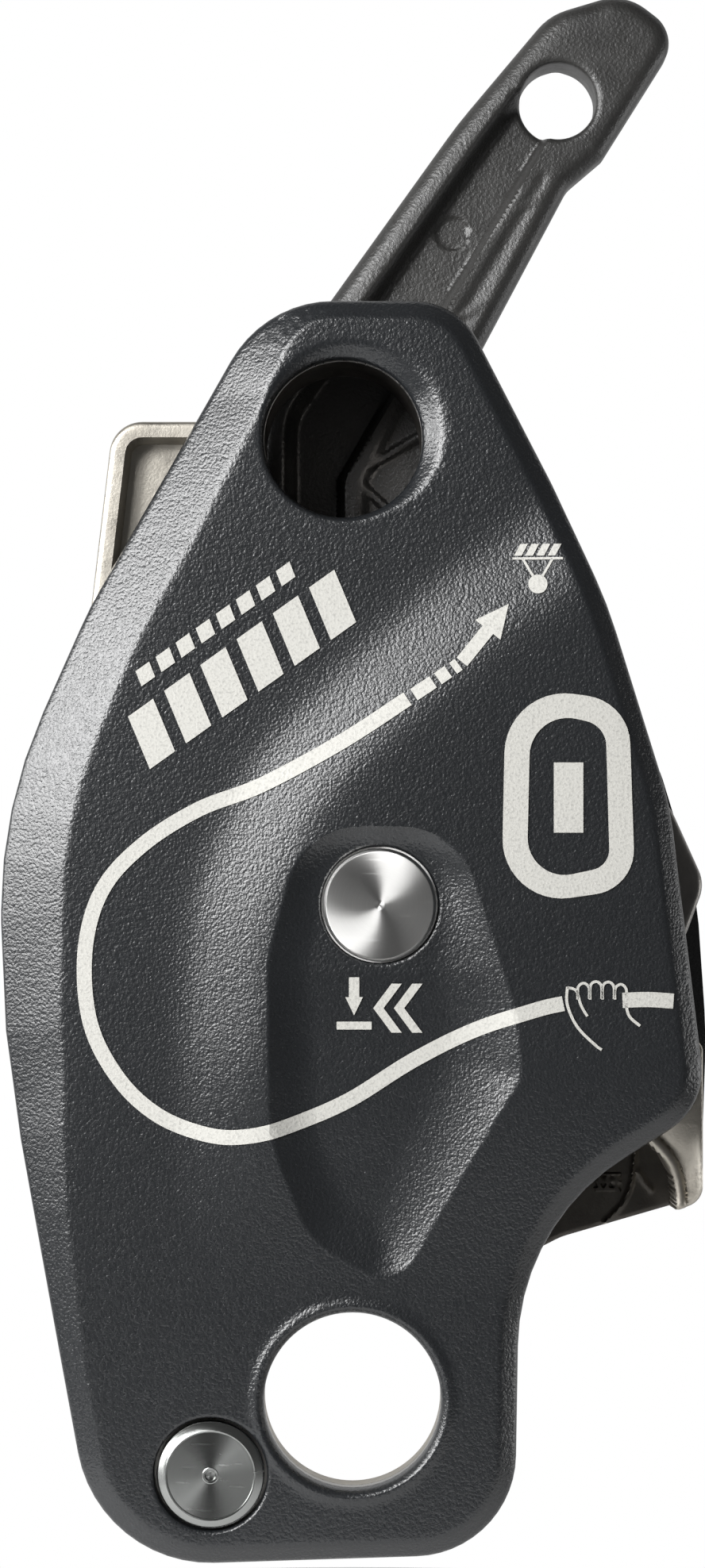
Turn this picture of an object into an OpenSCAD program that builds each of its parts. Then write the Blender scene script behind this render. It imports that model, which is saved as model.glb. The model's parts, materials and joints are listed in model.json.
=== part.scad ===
// Self-braking rope descender: a hinged side plate closes a cast rope channel, and a cam worked by
// a folding handle pinches the rope. The device is drawn as it hangs: X across, Z up, Y into depth.
// The origin is the centre of the connector hole, halfway through its wall.

/* [Connector hole] */
// Diameter of the hole that takes the harness connector
connector_d = 22.4; // [21:0.1:23]
// Depth of the moulded cover's flat face in front of the origin
face_depth = 3.7; // [3.5:0.1:4]

/* [Rope channel] */
// Clear width between the side plate and the frame floor
channel_w = 13.4; // [13.2:0.1:14]
// Thickness of the frame floor
floor_t = 4.4; // [4:0.1:5]
// Thickness of the channel's outer wall
wall_t = 2.6; // [2.2:0.1:3]

/* [Side plate] */
// Thickness of the inner metal plate
plate_t = 1.5; // [1.3:0.1:1.6]
// Running gap between the plate and the frame
plate_gap = 0.2; // [0.15:0.05:0.3]
// Height of the raised middle of the moulded cover above its flat face
cover_rise = 2.8; // [2.6:0.1:3]
// Depth of the thumb valley below the raised middle
valley_depth = 1.8; // [1.6:0.1:1.8]

/* [Cam and handle] */
// Radius of the lobe that the rope wraps
lobe_r = 14; // [13:0.5:14.5]
// Diameter of the axle that carries the cam and the handle
axle_d = 12; // [11.6:0.2:12.4]
// Depth of the handle casting
handle_t = 9; // [8:0.5:10]
// Diameter of the cord hole at the handle's tip
tip_hole_d = 10.1; // [9.5:0.1:10.5]
// Reach of the handle below its rest position, in degrees
handle_down = 35; // [25:1:35]
// Reach of the handle above its rest position, in degrees
handle_up = 115; // [100:1:115]

/* [Upper hole] */
// Diameter of the hole through the lined upper boss
upper_d = 20.1; // [19:0.1:20.5]

/* [Lock button] */
// Diameter of the button's turned face
button_d = 14.2; // [13.8:0.1:14.4]
// Travel of the button when pressed
button_travel = 2; // [1.5:0.1:2]

/* [Pivot pin] */
// Diameter of the pin's turned head
pin_head_d = 13.55; // [13:0.05:13.8]
// Diameter of the pin's shank
pin_d = 7; // [6.6:0.1:7.4]

/* [Hidden] */
$fn = 64;
arc_step = 9;
fit_gap = 0.04;
eps = 0.01;

// Axes across the device, as [x, z]
connector_at = [0, 0];
axle_at = [3.4, 62.7];
pivot_at = [-17.9, -9.2];
upper_at = [-1.2, 121.6];
tip_hole_at = [27.3, 168.6];
lobe_at = [-13.5, 54];
rope_guide_at = [16.5, 106];

// Layers in depth, from the front
y_face = -face_depth;
y_rise = y_face - cover_rise;
y_valley = y_rise + valley_depth;
y_channel = 0.6;
y_plate_back = y_channel - plate_gap;
y_plate = y_plate_back - plate_t;
y_floor = y_channel + channel_w;
y_back = y_floor + floor_t;
tongue_back = face_depth;
cover_back_t = 2.6;
y_cover_back = y_back + cover_back_t;
y_handle = y_cover_back + 0.5;
y_handle_back = y_handle + handle_t;
y_cam = y_channel + 0.35;
y_cam_back = y_floor - 1.75;

// Turned parts
axle_r = axle_d / 2;
socket_r = 4.05;
bush_wall = 1.4;
frame_bush_r = axle_r + fit_gap + bush_wall;
cam_bush_r = axle_r + fit_gap + 1.2;
flange_r = 11;
flange_t = 1.2;
y_flange = y_floor - flange_t - 0.1;
hub_r = 15.5;
stop_ring_r = 11.8;
stop_pin_r = 2;
stop_angle = -50;
ball_angle = 40;
ball_r = 1.6;
drive_ring_r = 8.9;
drive_pin_r = 1.4;
drive_angle = 200;
cam_ratio = 0.15;
sleeve_wall = 0.8;
boss_r = upper_d / 2 + sleeve_wall + 2.6;
block_pin_r = 1.5;
shank_r = 3.9;
button_flange_r = 8.4;
y_button = y_valley - 0.9;
y_button_back = y_plate - button_travel - 0.3;
button_flange_t = 0.6;
plunger_l = 8;

// Screws and rivets, as [x, z]
back_screws = [[-30, 108], [-35.5, 36], [35, 31], [26, 99]];
cover_rivet_at = [[-33, 22], [12, 22], [-35, 78], [30, 84], [-14.5, 118], [12.5, 118]];
block_pin_at = [[28.5, 33.5], [35.2, 38.2]];
plate_screws = [150, 270];

// ---- Outlines -------------------------------------------------------------------------------
// A corner is [x, z, radius], and corners run counter-clockwise.

function unit(v) = v / norm(v);
function at(c) = [c[0], c[1]];
function corner(list, i) = list[(i + len(list)) % len(list)];

// The points of one rounded corner b between its neighbours a and c
function corner_arc(a, b, c) =
    b[2] == 0 ? [at(b)] :
    let (
        u = unit(at(a) - at(b)),
        v = unit(at(c) - at(b)),
        half = acos(u * v) / 2,
        centre = at(b) + unit(u + v) * b[2] / sin(half),
        p = at(b) + u * b[2] / tan(half) - centre,
        q = at(b) + v * b[2] / tan(half) - centre,
        start = atan2(p[1], p[0]),
        sweep = (atan2(q[1], q[0]) - start + 540) % 360 - 180,
        steps = max(2, ceil(abs(sweep) / arc_step))
    )
    [for (i = [0 : steps]) centre + b[2] * [cos(start + sweep * i / steps), sin(start + sweep * i / steps)]];

function rounded(list) =
    [for (i = [0 : len(list) - 1]) each corner_arc(corner(list, i - 1), list[i], corner(list, i + 1))];

// The same outline moved inwards by d, corner by corner
function inset_corner(a, b, c, d) =
    let (
        u = unit(at(b) - at(a)),
        v = unit(at(c) - at(b)),
        nu = [-u[1], u[0]],
        nv = [-v[1], v[0]],
        moved = at(b) + (nu + nv) * d / (1 + nu * nv),
        convex = u[0] * v[1] - u[1] * v[0] > 0
    )
    [moved[0], moved[1], convex ? max(b[2] - d, 0.4) : b[2] + d];

function inset(list, d) =
    [for (i = [0 : len(list) - 1]) inset_corner(corner(list, i - 1), list[i], corner(list, i + 1), d)];

// Where a radius at an angle ends, round a centre
function polar(centre, r, angle) = centre + r * [cos(angle), sin(angle)];

cover_outline = [
    [-32.1, -21.2, 17], [20.5, -19.5, 13], [21, 22.7, 26], [44.6, 37.2, 9], [39.9, 75.5, 40],
    [32.1, 100.5, 60], [25.3, 115.7, 50], [13.3, 139, 9], [-11.1, 139.1, 15], [-33.3, 100.4, 60],
    [-44.6, 75, 62], [-44.6, 46.5, 150]
];
frame_outline = [
    [-36.2, 17.5, 5], [22.5, 17, 4], [27, 19.3, 8], [44.6, 24.4, 3], [44.6, 45, 1.5], [39.5, 46.4, 3],
    [39.5, 74, 20], [30.4, 99, 40], [13.2, 135.4, 7], [-9.4, 136, 9], [-16.6, 124, 2],
    [-30.45, 124, 4.2], [-34, 94, 8], [-41.6, 76, 40], [-42.9, 50, 120]
];
tongue_outline = [[-30.3, -19.4, 15], [18.9, -18, 11.5], [19.4, 18.5, 1], [-37.4, 18.5, 1]];
rear_outline = [
    [-35.4, 18, 5], [23, 17.6, 5], [27.5, 21, 8], [45.9, 26, 4], [46.6, 45, 60], [45.4, 64, 40],
    [41.2, 81.6, 10], [30.2, 99.6, 20], [12.6, 134.8, 7], [-9, 135.4, 9], [-16.4, 123, 2],
    [-29.8, 123, 4], [-33.2, 94, 8], [-40.8, 76, 40], [-42, 50, 120]
];
// The open stretch of the channel wall, where both rope strands leave
mouth = [[13, 119], [13, 150], [60, 150], [60, 45], [36, 45], [36, 70], [26, 95]];
cam_arm = [
    [-19.6, 66.6, 0], [-6.9, 41.6, 0], [13, 52.3, 25], [42.2, 57.3, 3], [45.2, 64.8, 4],
    [39, 78.4, 6], [10.5, 81.3, 12]
];
block_outline = [
    [25, 29, 1], [31.5, 30.6, 2], [38.6, 35.6, 1.5], [38.6, 43.2, 2], [31, 42.2, 8], [25, 38, 2]
];
handle_outline = [
    [-11.6, 56, 0], [18.4, 56, 0], [17, 84, 40], [13.6, 129, 12], [28.6, 157.2, 4], [33.3, 161.2, 2],
    [43.6, 177.6, 4.5], [36.2, 183.3, 7], [27.2, 180.2, 8], [14, 165.8, 60], [-12.4, 129, 10], [-13, 90, 20]
];
// The raised middle of the cover, right and below the long slanting step
rise_outline = [
    [-27, 15.5, 10], [17.2, 15, 8], [17.6, 24.5, 16], [38.6, 39, 5], [36.4, 74, 40], [29.2, 99, 30],
    [23.5, 108, 4], [-14, 76.5, 10], [-22, 62, 30], [-23.6, 40, 30]
];
valley_outline = [[-10, 38, 30], [3, 17, 9], [20, 38, 25], [16.5, 60, 12], [11.5, 73, 9], [-8, 73, 9]];
// The long channel, then the four pockets between the middle rib and the right-hand rim
handle_pockets = [
    [[-9.4, 92, 1], [-1.6, 92, 1], [-1.6, 118.5, 3], [22, 160.2, 1.2], [17.8, 164, 1.2], [-10, 127, 6]],
    [[1.6, 92, 1], [12, 92, 1], [11.8, 108.6, 0.6], [1.4, 116.4, 0.6]],
    [[2.6, 118.6, 0.6], [10.6, 111.5, 0.6], [10.9, 124.2, 0.6]],
    [[3.6, 122.6, 0.6], [10.4, 126.9, 0.6], [17.6, 141.2, 0.6], [12.4, 138.6, 0.6]],
    [[12.8, 141.2, 0.6], [18.4, 144, 0.6], [24.2, 154.9, 0.6], [21.3, 153.6, 0.6]]
];

// ---- Building blocks ------------------------------------------------------------------------

// A flat drawing in x and z, given depth from y0 to y1
module slab(y0, y1) {
    translate([0, y1, 0]) rotate([90, 0, 0]) linear_extrude(y1 - y0) children();
}

module shape(list) {
    polygon(rounded(list));
}

// A round bar along the depth axis
module rod(place, r, y0, y1) {
    translate([place[0], y0, place[1]]) rotate([-90, 0, 0]) cylinder(r = r, h = y1 - y0);
}

module ring(place, r_in, r_out, y0, y1) {
    difference() {
        rod(place, r_out, y0, y1);
        rod(place, r_in, y0 - 1, y1 + 1);
    }
}

// A profile of [radius, depth] points turned about the depth axis
module turned(place) {
    translate([place[0], 0, place[1]]) rotate([-90, 0, 0]) rotate_extrude() children();
}

// Part of a ring about the axle, from one angle to another
module ring_sector(mid_r, half_w, from, to, y0, y1) {
    translate([axle_at[0], y1, axle_at[1]]) rotate([90, 0, 0]) rotate([0, 0, from])
        rotate_extrude(angle = to - from) translate([mid_r - half_w, 0]) square([2 * half_w, y1 - y0]);
}

// A wire spring shown as its stack of closed turns
module coil(place, mean_r, wire_r, y0, y1) {
    turns = max(2, floor((y1 - y0) / (3 * wire_r)));
    pitch = (y1 - y0 - 2 * wire_r) / (turns - 1);
    turned(place) {
        for (i = [0 : turns - 1])
            translate([mean_r, y0 + wire_r + i * pitch]) circle(wire_r, $fn = 24);
        translate([mean_r - 0.1, y0 + wire_r]) square([0.2, y1 - y0 - 2 * wire_r]);
    }
}

// A countersunk screw whose head is flush at y_head and whose shank runs towards the front
module sunk_screw(place, head_r, shank, y_head, length) {
    difference() {
        turned(place)
            polygon([
                [0, y_head], [head_r, y_head], [head_r, y_head - 0.3], [shank, y_head - 0.3 - head_r + shank],
                [shank, y_head - length], [0, y_head - length]
            ]);
        rod(place, head_r * 0.42, y_head - 1.2, y_head + 1, $fn = 6);
    }
}

module sunk_seat(place, head_r, shank, y_head, length) {
    turned(place)
        polygon([
            [0, y_head + 1], [head_r, y_head + 1], [head_r, y_head - 0.3], [shank, y_head - 0.3 - head_r + shank],
            [shank, y_head - length], [0, y_head - length]
        ]);
}

// ---- Frame ----------------------------------------------------------------------------------

// The outer band of the rope channel, open where the strands leave
module channel_wall() {
    color([0.7, 0.68, 0.62])
    difference() {
        slab(y_channel, y_floor) shape(frame_outline);
        slab(y_channel - 1, y_floor + 1) shape(inset(frame_outline, wall_t));
        slab(y_channel - 1, y_floor + 1) polygon(mouth);
        rod(upper_at, boss_r, y_channel - 1, y_floor + 1);
    }
}

// The thin tongue round the connector hole, with the webs that carry its load into the channel
module frame_tongue() {
    color([0.7, 0.68, 0.62])
    difference() {
        union() {
            slab(y_channel, tongue_back) shape(tongue_outline);
            for (x = [-32, 15.5])
                translate([x, 0, 0]) rotate([90, 0, 90]) linear_extrude(2.4)
                    polygon([[tongue_back - eps, 2], [tongue_back - eps, 18.5], [y_floor, 18.5]]);
        }
        slab(y_channel - 1, y_back) shape(frame_outline);
        rod(connector_at, connector_d / 2, -1, 10);
        rod(pivot_at, pin_d / 2, -1, 10);
    }
}

// The round post that carries the upper hole from the floor to the side plate
module upper_boss() {
    color([0.7, 0.68, 0.62])
    ring(upper_at, upper_d / 2 + sleeve_wall, boss_r, y_channel, y_floor);
}

// The solid lower-right corner that backs the brake block
module brake_shoulder() {
    color([0.7, 0.68, 0.62])
    intersection() {
        slab(5.2, y_floor) shape(inset(frame_outline, wall_t));
        slab(5, y_floor + 1) polygon([[24.4, 10], [50, 10], [50, 28.4], [41.6, 27.5], [24.4, 25.9]]);
    }
}

module frame_casting() {
    color([0.7, 0.68, 0.62])
    difference() {
        slab(y_floor, y_back) shape(frame_outline);
        rod(upper_at, upper_d / 2 + sleeve_wall, y_floor - 1, y_back + 1);
        rod(axle_at, frame_bush_r, y_floor - 1, y_back + 1);
        rod(rope_guide_at, 2, y_floor - 1, y_back + 1);
        rod(polar(axle_at, stop_ring_r, stop_angle), stop_pin_r, y_back - 2.5, y_back + 1);
        for (p = block_pin_at) rod(p, block_pin_r, y_floor - 1, y_back - 1.4);
        for (p = back_screws) rod(p, 1.25, y_back - 3, y_back + 1);
        for (a = plate_screws) rod(polar(axle_at, stop_ring_r + 1.6, a), 0.9, y_back - 3, y_back + 1);
    }
}

module frame_bush() {
    color([0.66, 0.5, 0.28])
    ring(axle_at, axle_r + fit_gap, frame_bush_r, y_floor, y_cover_back - 0.1);
}

module upper_sleeve() {
    color([0.5, 0.49, 0.47])
    turned(upper_at)
        polygon([
            [upper_d / 2, y_channel + 0.5], [upper_d / 2 + 0.4, y_channel], [upper_d / 2 + sleeve_wall, y_channel],
            [upper_d / 2 + sleeve_wall, y_back], [upper_d / 2, y_back]
        ]);
}

module brake_block() {
    color([0.62, 0.6, 0.56])
    difference() {
        slab(y_channel + 0.4, y_floor) shape(block_outline);
        for (p = block_pin_at) rod(p, block_pin_r, y_channel - 1, y_floor + 1);
    }
}

module brake_block_pins() {
    color([0.75, 0.75, 0.75])
    for (p = block_pin_at) rod(p, block_pin_r, y_channel + 0.6, y_back - 1.4);
}

module rope_guide_pin() {
    color([0.75, 0.75, 0.75])
    turned(rope_guide_at)
        polygon([
            [0, y_channel + 0.3], [3.2, y_channel + 0.3], [3.2, y_floor], [2, y_floor], [2, y_back], [0, y_back]
        ]);
}

module pivot_pin() {
    head_r = pin_head_d / 2;
    color([0.8, 0.8, 0.8])
    difference() {
        turned(pivot_at)
            polygon([
                [0, y_face - 0.5], [head_r - 1.25, y_face - 0.5], [head_r, y_face + 0.3], [head_r, y_face + 1.6],
                [pin_d / 2, y_face + 1.6], [pin_d / 2, tongue_back + 1.4], [pin_d / 2 + 0.9, tongue_back + 1.4],
                [pin_d / 2 + 0.4, tongue_back + 2.2], [0, tongue_back + 2.2]
            ]);
        turned(pivot_at)
            polygon([[0, y_face - 1], [0.7, y_face - 1], [0.7, y_face - 0.3], [0, y_face]]);
    }
}

module pivot_washer() {
    color([0.75, 0.75, 0.75])
    ring(pivot_at, pin_d / 2, pin_d / 2 + 2.8, tongue_back, tongue_back + 1.4);
}

module rear_cover() {
    color([0.12, 0.12, 0.13])
    difference() {
        slab(y_back, y_cover_back) shape(rear_outline);
        rod(axle_at, hub_r + 1, y_back - 1, y_cover_back + 1);
        rod(upper_at, upper_d / 2 + sleeve_wall, y_back - 1, y_cover_back + 1);
        for (p = back_screws) sunk_seat(p, 2.6, 1.35, y_cover_back, 4);
    }
}

module rear_cover_screws() {
    color([0.6, 0.6, 0.6])
    for (p = back_screws) sunk_screw(p, 2.5, 1.25, y_cover_back, cover_back_t + 2.9);
}

// The hardened ring that the handle's ball clicks on, with a stop hole and three pockets
module detent_plate() {
    color([0.55, 0.55, 0.56])
    difference() {
        ring(axle_at, frame_bush_r + 0.1, hub_r + 0.8, y_back, y_cover_back);
        rod(polar(axle_at, stop_ring_r, stop_angle), stop_pin_r, y_back - 1, y_cover_back + 1);
        for (a = [-handle_down, 0, handle_up])
            rod(polar(axle_at, stop_ring_r, ball_angle + a), 1.2, y_cover_back - 0.8, y_cover_back + 1);
        for (a = plate_screws) sunk_seat(polar(axle_at, stop_ring_r + 1.6, a), 1.8, 1, y_cover_back, 4);
    }
}

module detent_plate_screws() {
    color([0.6, 0.6, 0.6])
    for (a = plate_screws)
        sunk_screw(polar(axle_at, stop_ring_r + 1.6, a), 1.7, 0.9, y_cover_back, cover_back_t + 2.9);
}

module stop_pin() {
    color([0.75, 0.75, 0.75])
    rod(polar(axle_at, stop_ring_r, stop_angle), stop_pin_r, y_back - 2.5, y_handle + 3);
}

// ---- Side plate -----------------------------------------------------------------------------

module side_plate() {
    color([0.6, 0.6, 0.6])
    difference() {
        slab(y_plate, y_plate_back) shape(inset(cover_outline, 1.4));
        rod(connector_at, connector_d / 2, -10, 10);
        rod(pivot_at, pin_d / 2 + fit_gap + 1.5, -10, 10);
        rod(upper_at, upper_d / 2 + 0.6, -10, 10);
        rod(axle_at, shank_r + fit_gap, -10, 10);
        for (p = cover_rivet_at) rod(p, 1.3, -10, 10);
    }
}

module side_plate_cover() {
    color([0.17, 0.18, 0.2])
    difference() {
        union() {
            slab(y_face + 1.5, y_plate_back) shape(cover_outline);
            slab(y_face + 0.6, y_face + 1.5 + eps) shape(inset(cover_outline, 1));
            slab(y_face, y_face + 0.6 + eps) shape(inset(cover_outline, 2.4));
            slab(y_face - cover_rise / 2, y_face + eps) shape(rise_outline);
            slab(y_rise, y_face - cover_rise / 2 + eps) shape(inset(rise_outline, 1.8));
        }
        slab(y_plate, 10) shape(inset(cover_outline, 1.4));
        slab(y_rise - 1, y_valley) shape(valley_outline);
        rod(connector_at, connector_d / 2, -10, 10);
        turned(upper_at)
            polygon([
                [0, y_face - 1], [upper_d / 2 + 3, y_face - 1], [upper_d / 2 + 3, y_face], [upper_d / 2 + 0.4, y_face + 1.6],
                [upper_d / 2 + 0.4, 10], [0, 10]
            ]);
        rod(pivot_at, pin_head_d / 2 + 0.4, -20, y_face + 1.7);
        rod(pivot_at, pin_d / 2 + fit_gap + 1.5, -20, 10);
        rod(axle_at, button_d / 2 + 0.6, -20, y_plate - 1);
        rod(axle_at, button_flange_r + 0.3, y_button_back - button_flange_t - 0.05, 10);
        for (p = cover_rivet_at) rod(p, 1.3, y_plate - 1.2, 10);
    }
}

// Blind rivets that hold the cover to the plate from behind
module cover_rivets() {
    color([0.7, 0.7, 0.7])
    for (p = cover_rivet_at) rod(p, 1.3, y_plate - 1.2, y_plate_back);
}

module pivot_bush() {
    color([0.66, 0.5, 0.28])
    ring(pivot_at, pin_d / 2 + fit_gap, pin_d / 2 + fit_gap + 1.5, y_face + 1.75, y_plate_back);
}

// ---- Lock -----------------------------------------------------------------------------------

module lock_button() {
    r = button_d / 2;
    color([0.8, 0.79, 0.77])
    turned(axle_at)
        polygon([
            [0, y_button + 0.25], [0.8, y_button], [r - 0.5, y_button], [r, y_button + 0.4],
            [r, y_button_back - button_flange_t], [button_flange_r, y_button_back - button_flange_t],
            [button_flange_r, y_button_back],
            [shank_r, y_button_back], [shank_r, y_plate_back], [0, y_plate_back]
        ]);
}

module button_spring() {
    color([0.6, 0.6, 0.6])
    coil(axle_at, shank_r + 1.4, 0.35, y_button_back, y_plate);
}

module lock_plunger() {
    color([0.75, 0.75, 0.75])
    rod(axle_at, socket_r - fit_gap, y_plate_back + 0.05, y_plate_back + plunger_l);
}

module plunger_spring() {
    color([0.6, 0.6, 0.6])
    coil(axle_at, socket_r - 0.8, 0.45, y_plate_back + plunger_l, y_plate_back + plunger_l + 7);
}

// ---- Cam ------------------------------------------------------------------------------------

module cam() {
    slot_from = drive_angle - handle_down * (1 - cam_ratio) - 11;
    slot_to = drive_angle + handle_up * (1 - cam_ratio) + 11;
    color([0.66, 0.64, 0.6])
    difference() {
        union() {
            rod(lobe_at, lobe_r, y_cam, y_cam_back);
            slab(y_cam, y_cam_back) shape(cam_arm);
        }
        rod(axle_at, cam_bush_r, y_cam - 1, y_cam_back + 1);
        ring(axle_at, cam_bush_r - 1, 10.4, y_cam - 1, y_cam + 3);
        ring_sector(drive_ring_r, drive_pin_r + 0.15, slot_from, slot_to, y_cam_back - 2.6, y_cam_back + 1);
        slab(y_cam - 1, y_cam_back - 4) shape([[20, 62, 2], [35, 64.5, 2], [33, 73, 2], [20, 74.5, 2]]);
        for (i = [0 : 4])
            rod([27 + 3 * i, 54.75 + 0.515 * i], 0.7, y_cam - 1, y_cam_back + 1);
    }
}

module cam_bush() {
    color([0.66, 0.5, 0.28])
    ring(axle_at, axle_r + fit_gap, cam_bush_r, y_cam + 3, y_cam_back);
}

module cam_spring() {
    color([0.6, 0.6, 0.6])
    coil(axle_at, 8.7, 0.55, y_cam + 0.1, y_cam + 2.9);
}

// ---- Handle ---------------------------------------------------------------------------------

module cam_axle() {
    color([0.78, 0.78, 0.78])
    difference() {
        turned(axle_at)
            polygon([
                [0, y_channel + 0.1], [axle_r - 0.3, y_channel + 0.1], [axle_r, y_channel + 0.4], [axle_r, y_flange],
                [flange_r, y_flange], [flange_r, y_flange + flange_t], [axle_r, y_flange + flange_t],
                [axle_r, y_handle_back - 0.4], [0, y_handle_back - 0.4]
            ]);
        rod(axle_at, socket_r, -1, y_plate_back + plunger_l + 7);
        rod(axle_at, 2.1, y_handle_back - 10, y_handle_back + 1);
        rod(polar(axle_at, drive_ring_r, drive_angle), drive_pin_r, y_flange - 1, y_flange + flange_t - 0.2);
    }
}

module drive_pin() {
    color([0.75, 0.75, 0.75])
    rod(polar(axle_at, drive_ring_r, drive_angle), drive_pin_r, y_cam_back - 2.4, y_flange + flange_t - 0.2);
}

module handle() {
    floor_back = y_handle_back - 2.6;
    color([0.14, 0.14, 0.14])
    difference() {
        union() {
            rod(axle_at, hub_r, y_handle, y_handle_back);
            slab(y_handle, y_handle_back) shape(handle_outline);
        }
        for (p = handle_pockets) slab(y_handle - 1, floor_back) shape(p);
        rod(tip_hole_at, tip_hole_d / 2, y_handle - 1, y_handle_back + 1);
        rod(axle_at, axle_r, y_handle - 1, y_handle_back + 1);
        ring_sector(stop_ring_r, stop_pin_r + 0.3, stop_angle - handle_up - 11.5, stop_angle + handle_down + 11.5,
            y_handle - 1, y_handle + 3.4);
        rod(polar(axle_at, stop_ring_r, ball_angle), ball_r + fit_gap, y_handle - 1, y_handle + 6);
    }
}

module detent_ball() {
    place = polar(axle_at, stop_ring_r, ball_angle);
    color([0.8, 0.8, 0.8])
    translate([place[0], y_cover_back + ball_r + 0.05, place[1]]) sphere(ball_r);
}

module detent_spring() {
    color([0.6, 0.6, 0.6])
    coil(polar(axle_at, stop_ring_r, ball_angle), 1.1, 0.25, y_cover_back + 2 * ball_r + 0.05, y_handle + 6);
}

module hub_washer() {
    color([0.7, 0.7, 0.7])
    ring(axle_at, 2.2, 9, y_handle_back, y_handle_back + 1.4);
}

module hub_screw() {
    y_top = y_handle_back + 1.4;
    color([0.7, 0.7, 0.7])
    difference() {
        turned(axle_at)
            polygon([
                [0, y_top - 11], [2.1, y_top - 11], [2.1, y_top], [5, y_top], [5, y_top + 2], [4.2, y_top + 2.8],
                [0, y_top + 2.8]
            ]);
        rod(axle_at, 2.3, y_top + 0.8, y_top + 4, $fn = 6);
    }
}

frame_casting();
channel_wall();
frame_tongue();
upper_boss();
brake_shoulder();
frame_bush();
upper_sleeve();
brake_block();
brake_block_pins();
rope_guide_pin();
pivot_pin();
pivot_washer();
rear_cover();
rear_cover_screws();
detent_plate();
detent_plate_screws();
stop_pin();
side_plate();
side_plate_cover();
cover_rivets();
pivot_bush();
lock_button();
button_spring();
lock_plunger();
plunger_spring();
cam();
cam_bush();
cam_spring();
cam_axle();
drive_pin();
handle();
detent_ball();
detent_spring();
hub_washer();
hub_screw();
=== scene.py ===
import json
import logging
import math
from dataclasses import dataclass, field
from enum import Enum
from typing import Callable

import bpy
import numpy as np
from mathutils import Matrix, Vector
from mathutils.geometry import delaunay_2d_cdt


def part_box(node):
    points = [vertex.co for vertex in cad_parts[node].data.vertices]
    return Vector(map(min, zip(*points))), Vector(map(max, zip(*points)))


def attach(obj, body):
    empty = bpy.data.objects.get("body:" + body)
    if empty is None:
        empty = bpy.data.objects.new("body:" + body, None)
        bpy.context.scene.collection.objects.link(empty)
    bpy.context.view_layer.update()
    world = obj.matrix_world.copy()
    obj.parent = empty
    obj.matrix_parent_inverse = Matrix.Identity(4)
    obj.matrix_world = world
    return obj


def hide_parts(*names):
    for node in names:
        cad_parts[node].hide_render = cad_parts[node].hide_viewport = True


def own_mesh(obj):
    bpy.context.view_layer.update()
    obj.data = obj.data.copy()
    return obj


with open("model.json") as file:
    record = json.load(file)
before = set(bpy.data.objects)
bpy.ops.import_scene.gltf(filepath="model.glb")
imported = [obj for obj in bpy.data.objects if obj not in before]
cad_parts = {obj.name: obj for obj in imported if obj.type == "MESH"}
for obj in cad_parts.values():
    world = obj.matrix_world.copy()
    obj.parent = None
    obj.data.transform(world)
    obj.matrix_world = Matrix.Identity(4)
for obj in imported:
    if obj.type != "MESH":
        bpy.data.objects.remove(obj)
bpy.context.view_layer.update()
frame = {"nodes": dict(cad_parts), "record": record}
LOG = logging.getLogger("descender")

MM = 0.001
# Depth of the cover's flat face, and the radii of the sleeve's and the connector's holes, in millimetres
COVER_FACE_Y = -3.7
UPPER_HOLE_R = 10.05
CONNECTOR_HOLE_R = 11.2
Corner = tuple[float, float, float]
Loop = np.ndarray
Surface = Callable[[np.ndarray], np.ndarray]
Ink = Loop | tuple[Loop, Loop]


# ---- Plane outlines, in millimetres across (x) and up (z) ------------------------------------------

def rounded(corners: list[Corner], step: float = 7.0) -> Loop:
    """Turns corners into a closed loop whose corners are arcs.

    Args:
        corners: x, z and radius of each corner, counter-clockwise.
        step: the largest angle between two points of an arc, in degrees.

    Returns:
        The loop's points, one row each.
    """
    points: list[np.ndarray] = []
    for i, (x, z, radius) in enumerate(corners):
        here = np.array([x, z])
        before = np.array(corners[i - 1][:2]) - here
        after = np.array(corners[(i + 1) % len(corners)][:2]) - here
        before, after = before / np.linalg.norm(before), after / np.linalg.norm(after)
        if radius == 0:
            points.append(here)
            continue
        half = math.acos(float(np.clip(before @ after, -1, 1))) / 2
        middle = before + after
        centre = here + middle / np.linalg.norm(middle) * radius / math.sin(half)
        start = here + before * radius / math.tan(half) - centre
        end = here + after * radius / math.tan(half) - centre
        first = math.atan2(start[1], start[0])
        sweep = (math.atan2(end[1], end[0]) - first + 3 * math.pi) % (2 * math.pi) - math.pi
        count = max(2, math.ceil(abs(math.degrees(sweep)) / step))
        for k in range(count + 1):
            angle = first + sweep * k / count
            points.append(centre + radius * np.array([math.cos(angle), math.sin(angle)]))
    return np.array(points)


def circle(centre: tuple[float, float], radius: float, count: int = 96) -> Loop:
    """Returns a closed round loop of count points."""
    angles = np.linspace(0, 2 * math.pi, count, endpoint=False)
    return np.array(centre) + radius * np.column_stack([np.cos(angles), np.sin(angles)])


def evened(loop: Loop, spacing: float, closed: bool = True) -> Loop:
    """Adds points to a line so that no stretch is longer than the spacing.

    Args:
        loop: the line's points.
        spacing: the longest stretch allowed, in millimetres.
        closed: whether the last point joins the first.

    Returns:
        The line with its old points and the new ones.
    """
    ends = np.roll(loop, -1, axis=0) if closed else loop[1:]
    points = []
    for a, b in zip(loop, ends):
        count = max(1, math.ceil(np.linalg.norm(b - a) / spacing))
        points += [a + (b - a) * k / count for k in range(count)]
    if not closed:
        points.append(loop[-1])
    return np.array(points)


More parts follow.
